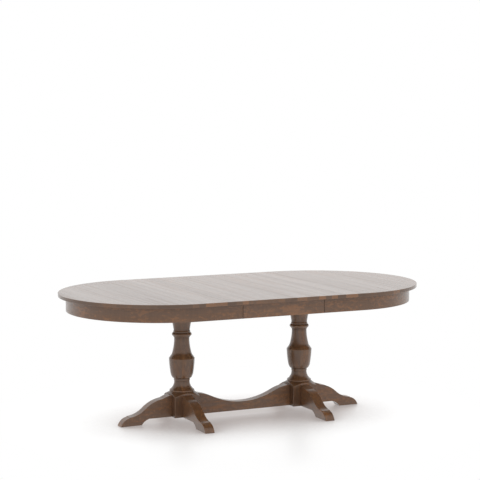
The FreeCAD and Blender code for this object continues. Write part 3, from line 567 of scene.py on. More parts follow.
@dataclass(frozen=True)
class ZincPlate:
    """Zinc plate on steel: a soft spangle, with fine scratches from the driver."""

    name: str = "zinc_plate"
    bright: Colour = (0.60, 0.60, 0.58)
    dull: Colour = (0.42, 0.42, 0.40)
    spangle_rate: float = 420.0
    scratches: Scatter = Scatter((300.0, 2600.0, 2600.0), 2.0, 0.6)
    spangle_dull: float = 0.6
    zinc_rough: float = 0.24
    spangle_rough: float = 0.10
    scratch_rough: float = 0.16
    relief: float = 0.00002

    def make(self) -> bpy.types.Material:
        """Build the finish.

        Returns:
            The finished material.
        """
        material, bench = new_material(self.name)
        spot = bench.spot()
        sockets = {"Vector": spot, "Scale": self.spangle_rate}
        facet, _, _ = bench.split(bench.add("ShaderNodeTexVoronoi", None, sockets, "Color"))
        scratch = bench.noise(spot, self.scratches)
        colour = bench.blend(facet * self.spangle_dull + scratch.swing(), self.bright, self.dull)
        rough = facet * self.spangle_rough + scratch * self.scratch_rough + self.zinc_rough
        sockets = {"Base Color": colour, "Metallic": 1.0, "Roughness": rough}
        finish_surface(bench, sockets, scratch, self.relief)
        return material


@dataclass(frozen=True)
class MouldedPlastic:
    """Moulded plastic: an even body colour, a faint flow mark and a fine grain."""

    name: str
    body: Colour
    flow: Colour
    roughness: float
    clouds: Scatter = Scatter((26.0, 26.0, 26.0), 3.0)
    specks: Scatter = Scatter((2200.0, 2200.0, 2200.0), 1.0)
    flow_ramp: Range = (0.35, 0.70)
    speck_rough: float = 0.15
    relief: float = 0.00003

    def make(self) -> bpy.types.Material:
        """Build the finish.

        Returns:
            The finished material.
        """
        material, bench = new_material(self.name)
        spot = bench.spot()
        cloud, speck = bench.noise(spot, self.clouds), bench.noise(spot, self.specks)
        colour = bench.blend(cloud.ramp(*self.flow_ramp), self.body, self.flow)
        rough = speck.swing() * self.speck_rough + self.roughness
        finish_surface(bench, {"Base Color": colour, "Roughness": rough}, speck, self.relief)
        return material


# Outlines and surfaces


def arc(start: Array, end: Array, swell: float, turn: float, longest: float) -> Array:
    """Points from one corner of an outline up to the next.

    The arc swells out to the right of the way from start to end. On its circle the points
    lie at even angles about the middle: x = R sin a along the chord, R cos a away from it.

    Args:
        start: the first corner.
        end: the next corner, which is left out.
        swell: how far the arc's middle stands off the chord; 0 is a straight line.
        turn: the largest angle between neighbours on the arc, in radians.
        longest: the longest step on a straight line.

    Returns:
        The points, an array of rows of two.
    """
    chord = end - start
    length = float(np.hypot(*chord))
    if swell == 0:
        steps = max(1, math.ceil(length / longest - MATCH))
        return start + chord * (np.arange(steps) / steps)[:, None]
    radius = (length * length / 4 + swell * swell) / (2 * abs(swell))
    half_angle = 2 * math.atan(2 * abs(swell) / length)
    steps = max(2, math.ceil(2 * half_angle / turn))
    angle = np.linspace(-half_angle, half_angle, steps + 1)[:-1]
    forward = chord / length
    aside = np.array([forward[1], -forward[0]]) * np.sign(swell)
    rise = radius * np.cos(angle) - (radius - abs(swell))
    middle = (start + end) / 2
    return middle + np.outer(radius * np.sin(angle), forward) + np.outer(rise, aside)


def outline(corners: Sequence[Sequence[float]], closed: bool = True, turn: float = math.radians(4),
            longest: float = 1.0) -> Array:
    """The points of an outline through corners, each with the swell of the arc after it.

    Args:
        corners: rows of (x, y) or (x, y, swell), counter-clockwise where the outline closes.
        closed: whether the last corner runs on to the first.
        turn: the largest angle between neighbours on an arc.
        longest: the longest step on a straight line.

    Returns:
        The points, with the last corner of an open outline among them.
    """
    places = np.array([corner[:2] for corner in corners], float)
    swells = [corner[2] if len(corner) > 2 else 0.0 for corner in corners]
    last = len(corners) if closed else len(corners) - 1
    ends = np.roll(places, -1, 0)
    runs = [arc(places[i], ends[i], swells[i], turn, longest) for i in range(last)]
    if not closed:
        runs.append(places[-1:])
    return np.concatenate(runs)


def eased(path: Array, cut: float, sharp_turn: float = math.radians(20)) -> Array:
    """An open outline with each sharp corner replaced by two points just before and after it.

    Args:
        path: the outline.
        cut: how far from a corner the two points lie, at most a third of the way to the next.
        sharp_turn: the least turn at a corner that is taken off.

    Returns:
        The outline with its corners taken off.
    """
    before = path - np.roll(path, 1, 0)
    after = np.roll(path, -1, 0) - path
    reach_before = np.maximum(np.hypot(before[:, 0], before[:, 1]), MATCH)
    reach_after = np.maximum(np.hypot(after[:, 0], after[:, 1]), MATCH)
    cosine = (before * after).sum(1) / (reach_before * reach_after)
    sharp = cosine < math.cos(sharp_turn)
    sharp[[0, -1]] = False
    first = path - before * np.minimum(cut / reach_before, 1 / 3)[:, None]
    second = path + after * np.minimum(cut / reach_after, 1 / 3)[:, None]
    both = np.stack([np.where(sharp[:, None], first, path), second], 1).reshape(-1, 2)
    kept = np.stack([np.ones(len(path), bool), sharp], 1).ravel()
    return both[kept]


def edge_rounds(joint: Array, joint_round: float, free_round: float) -> Array:
    """The round-over of each edge of an outline.

    Args:
        joint: whether each point of the outline lies on a joint.
        joint_round: the radius on an edge between two points of a joint.
        free_round: the radius on every other edge.

    Returns:
        A radius for each point, for the edge from it to the next.
    """
    return np.where(joint & np.roll(joint, -1), joint_round, free_round)


def inset(path: Array, amounts: Array, smooth_turn: float = math.radians(12)) -> Array:
    """A closed outline with each edge moved in by its own amount.

    A corner moves to where its two moved edges cross. Where the edges run nearly on, as on
    an arc, it moves along the mean of their normals instead.

    Args:
        path: the outline, counter-clockwise.
        amounts: how far each edge moves, from its point to the next.
        smooth_turn: edges that turn by less than this run nearly on.

    Returns:
        The moved points, as many as the outline has.
    """
    edge = np.roll(path, -1, 0) - path
    normal = np.stack([edge[:, 1], -edge[:, 0]], 1) / np.hypot(edge[:, 0], edge[:, 1])[:, None]
    before = np.roll(normal, 1, 0)
    moved_before = np.roll(amounts, 1)
    cross = before[:, 0] * normal[:, 1] - before[:, 1] * normal[:, 0]
    cosine = (before * normal).sum(1)
    smooth = np.abs(cross) < math.sin(smooth_turn)
    mean = -((moved_before + amounts) / 2)[:, None] * (before + normal) / (1 + cosine)[:, None]
    turned = np.stack([normal[:, 1], -normal[:, 0]], 1) * -moved_before[:, None]
    turned_before = np.stack([before[:, 1], -before[:, 0]], 1) * amounts[:, None]
    corner = (turned + turned_before) / np.where(smooth, 1.0, cross)[:, None]
    return path + np.where(smooth[:, None], mean, corner)


@dataclass(frozen=True)
class Patch:
    """A surface before it is a mesh.

    Points are rows of three in the frame. Marks are rows of (wear, stain and painted shade in
    recesses, end grain), each from 0 to 1. Faces hold the numbers of their points, counter-clockwise
    from outside.
    """

    points: Array
    marks: Array
    faces: list[Sequence[int]]


def band_faces(rows: int, columns: int) -> list[Sequence[int]]:
    """The four-cornered faces between the closed rows of a grid whose points run row by row.

    Args:
        rows: how many rows.
        columns: how many points in a row, of which the last meets the first.

    Returns:
        The faces, which face out where rows rise and columns run counter-clockwise.
    """
    row, column = np.mgrid[0:rows - 1, 0:columns]
    here = row * columns + column
    beside = row * columns + (column + 1) % columns
    return np.stack([here, beside, beside + columns, here + columns], -1).reshape(-1, 4).tolist()


def rounded_rows(path: Array, rounds: Array, wear_reach: float, steps: int = 4) -> Array:
    """The rows of points from a board's face over its rounded edge to its side.

    Row by row the outline is moved in by r(1 - sin a) at a height r(1 - cos a) from the
    face, for a from 0 to a quarter turn.

    Args:
        path: the outline, counter-clockwise.
        rounds: the radius of the round-over on each edge of the outline; 0 for a joint.
        wear_reach: how far the wear of an edge fades in over the face and the side.
        steps: how many steps the round-over has.

    Returns:
        Rows of (x, y, height above the face, wear), one row of points after another.
    """
    angle = np.linspace(0, math.pi / 2, steps + 1)
    share = np.concatenate([[1.0], 1 - np.sin(angle), [0.0]])
    lift = np.concatenate([[0.0], 1 - np.cos(angle), [1.0]])
    wear = np.concatenate([[0.0], np.full(steps + 1, 1.0), [0.0]])
    beyond = np.concatenate([[1.0], np.zeros(steps + 1), [0.0]])
    climb = np.concatenate([np.zeros(steps + 2), [wear_reach]])
    radius = np.maximum(rounds, np.roll(rounds, 1))
    fade = np.where(rounds > 0, wear_reach, 0.0)
    flat = np.stack([inset(path, rounds * s + fade * b) for s, b in zip(share, beyond)])
    height = radius * lift[:, None] + climb[:, None]
    worn = wear[:, None] * (radius > 0)
    return np.concatenate([flat, height[..., None], worn[..., None]], 2)


def stacked_board(lower: Array, upper: Array, axes: Sequence[Array]) -> Patch:
    """A board of rows of points, from the rows at its low face to those at its high face.

    Args:
        lower: rows of (x, y, level, wear), up from the low face.
        upper: rows of as many points, down from the high face.
        axes: an origin and the directions of the outline's two axes.

    Returns:
        The board's patch, closed by a face at each end.
    """
    origin, first, second = axes
    rows = np.concatenate([lower, upper[::-1]])
    x, y, level, worn = np.moveaxis(rows.reshape(-1, 4), 1, 0)[..., None]
    points = origin + x * first + y * second + level * np.cross(first, second)
    count, total = rows.shape[1], len(points)
    faces = band_faces(len(rows), count)
    faces += [range(count - 1, -1, -1), range(total - count, total)]
    marks = np.concatenate([worn, np.zeros((total, 2))], 1)
    return Patch(points, marks, faces)


def board_patch(path: Array, rounds: Array, low: float, high: float, axes: Sequence[Array],
                wear_reach: float = WEAR_REACH) -> Patch:
    """A board sawn to an outline, with its long edges rounded over by quarter circles.

    Args:
        path: the outline in the board's plane, counter-clockwise.
        rounds: the radius of the round-over on each edge of the outline; 0 for a joint.
        low: where the low face lies along the third axis.
        high: where the high face lies.
        axes: an origin and the directions of the outline's two axes.
        wear_reach: how far the wear of an edge fades in over its two faces.

    Returns:
        The board's patch.
    """
    rows = rounded_rows(path, rounds, wear_reach)
    return stacked_board(rows + (0, 0, low, 0), rows * DOWNWARD + (0, 0, high, 0), axes)


def drilled(patch: Patch, number: int, centre: Array, radius: float, depth: float) -> Patch:
    """Bore a round blind hole into one flat face with four corners.

    The mouth's points lie at C + r (u cos a + v sin a), where u and v run along the face's
    first two sides from its first corner, and a starts towards that corner. Four faces fill
    the room between the mouth and the sides of the face that they stand for.

    Args:
        patch: the surface.
        number: which face is bored.
        centre: the middle of the hole's mouth.
        radius: the hole's radius.
        depth: the hole's depth.

    Returns:
        The bored surface, with painted shade on the hole's floor.
    """
    quarter = 4
    steps = 4 * quarter
    corners = patch.faces[number]
    first, second, _, last = (patch.points[corner] for corner in corners)
    u = (second - first) / np.linalg.norm(second - first)
    v = (last - first) / np.linalg.norm(last - first)
    angle = np.arange(steps) * math.tau / steps - math.radians(135)
    mouth = centre + radius * (np.outer(np.cos(angle), u) + np.outer(np.sin(angle), v))
    floor = mouth - np.cross(u, v) * depth
    start = len(patch.points)
    ring = np.arange(steps + 1) % steps + start
    room = [[corners[side], corners[(side + 1) % 4],
             *ring[side * quarter:(side + 1) * quarter + 1][::-1].tolist()] for side in range(4)]
    wall = (np.array(band_faces(2, steps)) + start).tolist()
    faces = list(patch.faces)
    faces[number] = room[0]
    faces += [*room[1:], *wall, range(start + steps, start + 2 * steps)]
    marks = np.zeros((2 * steps, 3))
    # The hole's floor gets full painted shade.
    marks[steps:, 1] = 1.0
    points = np.concatenate([patch.points, mouth, floor])
    return Patch(points, np.concatenate([patch.marks, marks]), faces)


def turned_patch(profile: Array, centre: Array, steps: int) -> Patch:
    """A profile turned about an upright axis: (r cos a, r sin a, z) for a full turn of a.

    Args:
        profile: rows of (radius, height), from the foot's middle up to the head's.
        centre: where the axis stands.
        steps: how many points a ring has.

    Returns:
        The turned patch, with painted shade in its hollows and worn edges read from its profile.
    """
    angle = np.arange(steps) * (math.tau / steps)
    ring = np.stack([np.cos(angle), np.sin(angle)], 1)
    flat = profile[:, None, :1] * ring[None]
    level = np.broadcast_to(profile[:, None, 1:], (len(profile), steps, 1))
    points = np.concatenate([flat, level], 2).reshape(-1, 3) + centre
    wear, stain_and_shade = profile_marks(profile)
    marks = np.repeat(np.stack([wear, stain_and_shade, np.zeros(len(profile))], 1), steps, 0)
    return Patch(points, marks, band_faces(len(profile), steps))


def profile_marks(profile: Array, spread: float = 0.007, step: float = 0.0005,
                  proud: Range = (0.00036, 0.00156), hollow: Range = (0.00032, 0.00192),
                  ) -> tuple[Array, Array]:
    """Where a turned profile stands proud of its own smoothed line, and where it lies below.

    The radius is read at even steps along the profile and smoothed with a bell curve. What
    stands above the smooth line is worn, and what lies below it gets painted shade.

    Args:
        profile: rows of (radius, height).
        spread: the bell's half width.
        step: the length of a step along the profile.
        proud: how far a point stands above the smooth line where wear starts and is full.
        hollow: how far one lies below it where the painted shade starts and is full.

    Returns:
        The wear and the painted shade at each point, 0 to 1.
    """
    length = np.concatenate([[0.0], np.cumsum(np.hypot(*np.diff(profile, axis=0).T))])
    even = np.arange(0.0, length[-1], step)
    radius = np.interp(even, length, profile[:, 0])
    reach = int(3 * spread / step)
    bell = np.exp(-0.5 * (np.arange(-reach, reach + 1) * step / spread) ** 2)
    smooth = np.convolve(np.pad(radius, reach, mode="edge"), bell / bell.sum(), "valid")
    above = np.interp(length, even, radius - smooth)
    wear, stain_and_shade = (np.clip((sign * above - low) / (high - low), 0, 1)
                    for sign, (low, high) in ((1, proud), (-1, hollow)))
    return wear, stain_and_shade


def mesh_piece(name: str, patch: Patch, grain: Grain,
               sharp: float = math.radians(32)) -> bpy.types.Object:
    """Make an object of a patch, with its grain and marks in the mesh.

    Args:
        name: the piece's name.
        patch: the surface.
        grain: gives each point's place along, across and through the grain.
        sharp: faces that meet at more than this angle meet in a sharp edge.

    Returns:
        The object, at the origin.
    """
    mesh = bpy.data.meshes.new(name)
    mesh.from_pydata(patch.points.tolist(), [], patch.faces)
    for key, rows in (("grain", grain(patch.points)), ("marks", patch.marks)):
        layer = mesh.attributes.new(key, "FLOAT_VECTOR", "POINT")
        layer.data.foreach_set("vector", rows.astype(np.float32).ravel())
    shell = bmesh.new()
    shell.from_mesh(mesh)
    bmesh.ops.remove_doubles(shell, verts=shell.verts, dist=MATCH)
    shell.to_mesh(mesh)
    shell.free()
    mesh.shade_smooth()
    mesh.set_sharp_from_angle(angle=sharp)
    piece = bpy.data.objects.new(name, mesh)
    bpy.context.scene.collection.objects.link(piece)
    flat = piece.modifiers.new("flat_faces", "WEIGHTED_NORMAL")
    flat.keep_sharp = True
    return piece


@dataclass(frozen=True)
class Workshop:
    """The finishes, and how a piece is dressed and told where it belongs."""

    finishes: dict[str, bpy.types.Material]

    def place(self, name: str, patch: Patch, grain: Grain, finish: str, slot: str, body: str,
              *nodes: str) -> bpy.types.Object:
        """Make a piece, dress it, and hand it to its body.

        Args:
            name: the piece's name.
            patch: its surface.
            grain: its grain.
            finish: which finish it wears.
            slot: not used.
            body: what it moves with.
            nodes: the solids that it stands for.

        Returns:
            The finished piece.
        """
        piece = mesh_piece(name, patch, grain)
        piece.data.materials.append(self.finishes[finish])
        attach(piece, body)
        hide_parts(*nodes)
        log.info("%s: %d points, %s, on %s", name, len(piece.data.vertices), finish, body)
        return piece

    def dress(self, finish: str, nodes: Iterable[str]) -> None:
        """Give solids that stay as they are a finish.

        Args:
            finish: which finish they wear.
            nodes: the solids.
        """
        for node in nodes:
            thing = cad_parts[node]
            thing.data.materials.clear()
            thing.data.materials.append(self.finishes[finish])
            log.info("%s: %s", node, finish)


# The pieces of the table


def solid_box(node: str) -> tuple[Array, Array]:
    """The lowest and the highest corner of a solid's box."""
    low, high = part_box(node)
    return np.array(low), np.array(high)


def straight_grain(direction: Array, across: Array, offset: float) -> Grain:
    """A grain that runs straight along one direction.

    Args:
        direction: along the grain.
        across: across the board's face.
        offset: moves the piece's figure on, so that no two pieces have the same.

    Returns:
        The map from points to places in the grain.
    """
    through = np.cross(direction, across)
    turned = np.stack([direction, across, through], 1)
    return lambda points: points @ turned + np.array([offset, 0.0, offset / FIGURE_SLANT])


@dataclass(frozen=True)
class Pedestal:
    """A turned column on its square hub, with three scrolled feet."""

    side: str
    hand: int
    board_thickness: float = 0.0575
    board_round: float = 0.002
    hub_round: float = 0.003
    pommel_drop: float = 0.023
    pommel_bulge: float = 0.0012
    well_radius: float = 0.036
    well_depth: float = 0.090
    urn_radius: float = 0.0744
    corner_ease: float = 0.0005
    glide_proud: float = 0.002
    heel_share: float = 0.592
    arch_share: float = 0.4405
    arch_bulge_share: float = 0.034
    toe_bulge_share: float = 0.062

    # How finely the outlines are drawn.
    turning_angle: float = math.radians(3)
    turning_step: float = 0.010
    turning_points: int = 128
    hub_angle: float = math.radians(15)
    hub_step: float = 0.006
    shoulder_rows: int = 7
    board_step: float = 0.02

    # How much painted shade darkens the hub's well and its shoulder, where the turned top meets the
    # column.
    well_shade: float = 0.6
    shoulder_shade: float = 0.55

    # Where each piece's figure starts, so that no two look the same.
    post_figure: float = 1.7
    post_figure_step: float = 0.6
    foot_figure_step: float = 0.9
    side_figure_step: float = 0.45

    # A foot's top edge from the toe to the hub: how far out, how high, and how far the
    # arc to the next point swells, as shares of the foot's run and of its height.
    foot_top_shares: tuple[tuple[float, float, float], ...] = (
        (0.830, 0.305, 0.000), (0.823, 0.326, -0.050), (0.527, 0.562, 0.056),
        (0.188, 0.885, -0.003), (0.148, 0.910, 0.012), (0.000, 1.000, 0.000))

    # The turning from the hub up: radius and swell as shares of the urn's radius, height
    # as a share of the turned length.
    turning_shares: tuple[tuple[float, float, float], ...] = (
        (0.945, 0.0000, 0.022), (0.945, 0.0190, 0.000), (0.907, 0.0220, -0.078),
        (0.602, 0.1170, 0.000), (0.602, 0.1240, 0.000), (0.626, 0.1270, 0.000),
        (0.626, 0.1570, 0.000), (0.740, 0.1610, 0.022), (0.887, 0.2200, 0.016),
        (0.997, 0.3800, 0.000), (1.000, 0.3930, 0.000), (0.780, 0.4410, -0.052),
        (0.590, 0.6370, 0.000), (0.590, 0.6410, 0.000), (0.640, 0.6440, 0.000),
        (0.640, 0.6550, 0.000), (0.659, 0.6570, 0.108), (0.659, 0.6990, 0.000),
        (0.659, 0.7150, 0.000), (0.626, 0.7260, 0.000), (0.626, 0.7330, -0.020),
        (0.860, 0.9000, 0.000), (0.940, 0.9030, 0.000), (0.940, 1.0000, 0.000))

    def build(self, shop: Workshop) -> None:
        """Make the column, the hub and the feet.

        Args:
            shop: what dresses and places each piece.
        """
        hub_low, hub_high = solid_box("hub_" + self.side)
        centre = np.array([(hub_low[0] + hub_high[0]) / 2, 0.0, 0.0])
        self._column(shop, centre, hub_high[2])
        self._hub(shop, centre, hub_low[2], hub_high[2], (hub_high[0] - hub_low[0]) / 2)
        ways = {"outer": (self.hand, 0), "front": (0, -1), "back": (0, 1)}
        for number, (position, way) in enumerate(ways.items()):
            self._foot(shop, centre, position, np.array([*way, 0.0]), number)

    def _column(self, shop: Workshop, centre: Array, foot: float) -> None:
        """Turn the column: its profile, carried round its axis.

        Args:
            shop: what dresses and places it.
            centre: where the pedestal's axis stands.
            foot: how high the column's foot lies.
        """
        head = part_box("column_" + self.side)[1].z
        corners = [(0.0, foot)]
        for radius_share, height_share, bulge_share in self.turning_shares:
            level = foot + (head - foot) * height_share
            corners.append((self.urn_radius * radius_share, level, self.urn_radius * bulge_share))
        corners.append((0.0, head))
        profile = outline(corners, False, self.turning_angle, self.turning_step)
        patch = turned_patch(eased(profile, self.corner_ease), centre, self.turning_points)
        shop.place("turned_column_" + self.side, patch, self._post_grain(centre), "stained_posts",
                   "turned_posts", "base", "column_" + self.side)

    def _post_grain(self, centre: Array) -> Grain:
        """Upright grain, laid out from the pedestal's own axis."""
        upright = straight_grain(Z_AXIS, X_AXIS, self.post_figure + self.hand * self.post_figure_step)
        return lambda points: upright(points - centre)

    def _hub(self, shop: Workshop, centre: Array, low: float, high: float, half: float) -> None:
        """Shape the hub.

        Its rings are the rounded square below, and circles where the lathe cut its top and
        where the well is bored: each point lies at its ring's radius in its own direction,
        and the turned top meets each side where the cut's height equals the side's.

        Args:
            shop: what dresses and places it.
            centre: where the pedestal's axis stands.
            low: how high its underside lies.
            high: how high its turned top ends.
            half: half the width of its square.
        """
        edge = half - self.hub_round
        quarter = self.hub_round * QUARTER_BULGE_SHARE
        corners = [(half, -edge), (half, edge, quarter), (edge, half), (-edge, half, quarter),
                   (-half, edge), (-half, -edge, quarter), (-edge, -half), (edge, -half, quarter)]
        square = outline(corners, True, self.hub_angle, self.hub_step)
        reach = np.hypot(square[:, 0], square[:, 1])
        way = square / reach[:, None]
        ring = self.urn_radius * self.turning_shares[0][0]
        ease = self.corner_ease * 2
        fade_under, fade_beside = ease * 3, ease * 4
        well = np.full(len(way), self.well_radius)
        ceiling = low + self.well_depth
        side_top = self._pommel(reach, ring, half, high)
        # The last figure of each row is painted shade: full inside the well, and growing over the
        # turned top towards the column's ring.
        rows = [(well * 0, ceiling, 0, 1), (well, ceiling, 0, 1),
                (well, low + ease, 0, self.well_shade), (well + ease, low, 1, 0),
                (reach - fade_under, low, 0, 0), (reach - ease, low, 1, 0),
                (reach, low + ease, 1, 0), (reach, low + fade_beside, 0, 0),
                (reach, side_top - fade_beside, 0, 0), (reach, side_top - ease, 1, 0)]
        for number, share in enumerate(np.linspace(0, 1, self.shoulder_rows)):
            radius = (reach - ease) * (1 - share) + ring * share
            level = self._pommel(radius, ring, half, high)
            rows.append((radius, level, float(number == 0), self.shoulder_shade * share ** 2))
        rows.append((well * 0, high, 0, 1))
        radii, levels, wear, stain_and_shade = zip(*rows)
        flat = np.concatenate([way * radius[:, None] for radius in radii])
        level = np.concatenate([np.broadcast_to(height, reach.shape) for height in levels])
        points = np.concatenate([flat, level[:, None]], 1) + centre
        marks = np.repeat(np.stack([wear, stain_and_shade, np.zeros(len(rows))], 1), len(way), 0)
        patch = Patch(points, marks, band_faces(len(rows), len(way)))
        shop.place("square_hub_" + self.side, patch, self._post_grain(centre), "stained_posts",
                   "turned_posts", "base", "hub_" + self.side)

    def _pommel(self, radius: Array, ring: float, half: float, high: float) -> Array:
        """The height of the hub's turned top at a radius.

        It lies on a circle through the ring's foot and the square's corner, hollow by the
        pommel's bulge: z = cz - sqrt(R^2 - (r - cr)^2), below the circle's middle (cr, cz).

        Args:
            radius: how far out each point lies.
            ring: the radius of the ring that the column stands on.
            half: half the width of the hub's square.
            high: how high the ring lies.

        Returns:
            The height at each radius.
        """
        corner = half * math.sqrt(2)
        start, end = np.array([corner, high - self.pommel_drop]), np.array([ring, high])
        chord = end - start
        length = float(np.hypot(*chord))
        arc_radius = (length ** 2 / 4 + self.pommel_bulge ** 2) / (2 * self.pommel_bulge)
        aside = np.array([chord[1], -chord[0]]) / length
        middle = (start + end) / 2 + aside * (arc_radius - self.pommel_bulge)
        return middle[1] - np.sqrt(np.maximum(arc_radius ** 2 - (radius - middle[0]) ** 2, 0.0))

    def _foot(self, shop: Workshop, centre: Array, position: str, way: Array, number: int) -> None:
        """Saw one foot: its outline, carried across the board's thickness.

        Args:
            shop: what dresses and places it.
            centre: where the pedestal's axis stands.
            position: outer, front or back.
            way: the direction in which the foot points.
            number: which of the three it is, for its figure.
        """
        node = "foot_%s_%s" % (self.side, position)
        box = np.stack(solid_box(node))
        start, reach = np.sort(np.abs((box - centre) @ way))
        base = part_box("hub_" + self.side)[0].z
        run, height = reach - start, box[1, 2]
        heel = start + run * self.heel_share
        arch = start + run * self.arch_share
        corners = [(start, base), (arch, base, -height * self.arch_bulge_share),
                   (heel, self.glide_proud), (reach, self.glide_proud, height * self.toe_bulge_share)]
        for run_share, height_share, bulge_share in self.foot_top_shares:
            corners.append((start + run * run_share, height * height_share, height * bulge_share))
        path = outline(corners, longest=self.board_step)
        rounds = edge_rounds(np.abs(path[:, 0] - start) < MATCH, 0.0, self.board_round)
        half = self.board_thickness / 2
        patch = board_patch(path, rounds, -half, half, (centre, way, Z_AXIS))
        offset = self.foot_figure_step * number + self.side_figure_step * (self.hand > 0)
        grain = straight_grain(way, Z_AXIS, offset)
        shop.place("scrolled_" + node, patch, grain, "stained_boards", "base_boards", "base", node)


@dataclass(frozen=True)
class Stretcher:
    """The scrolled board between the hubs."""

    board_thickness: float = 0.0575
    board_round: float = 0.002
    waist: float = 0.051
    sweep_share: float = 0.642
    sweep_height_share: float = 0.804
    shoulder_bulge_share: float = 0.034
    sweep_angle: float = math.radians(2)
    board_step: float = 0.02
    figure: float = 2.3

    def build(self, shop: Workshop) -> None:
        """Saw the board: its outline, carried across its thickness.

        Args:
            shop: what dresses and places each piece.
        """
        low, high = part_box("stretcher")
        end, base, top = high.x, low.z, high.z
        sweep_x, sweep_z = end * self.sweep_share, top * self.sweep_height_share
        waist = base + self.waist
        shoulder = top * self.shoulder_bulge_share
        corners = [(-end, base), (end, base), (end, top, shoulder), (sweep_x, sweep_z, waist - sweep_z),
                   (-sweep_x, sweep_z, shoulder), (-end, top)]
        path = outline(corners, True, self.sweep_angle, self.board_step)
        at_hub = np.abs(np.abs(path[:, 0]) - end) < MATCH
        rounds = edge_rounds(at_hub, 0.0, self.board_round)
        half = self.board_thickness / 2
        patch = board_patch(path, rounds, -half, half, (np.zeros(3), X_AXIS, Z_AXIS))
        grain = straight_grain(X_AXIS, Z_AXIS, self.figure)
        shop.place("scrolled_stretcher", patch, grain, "stained_boards", "base_boards", "base",
                   "stretcher")


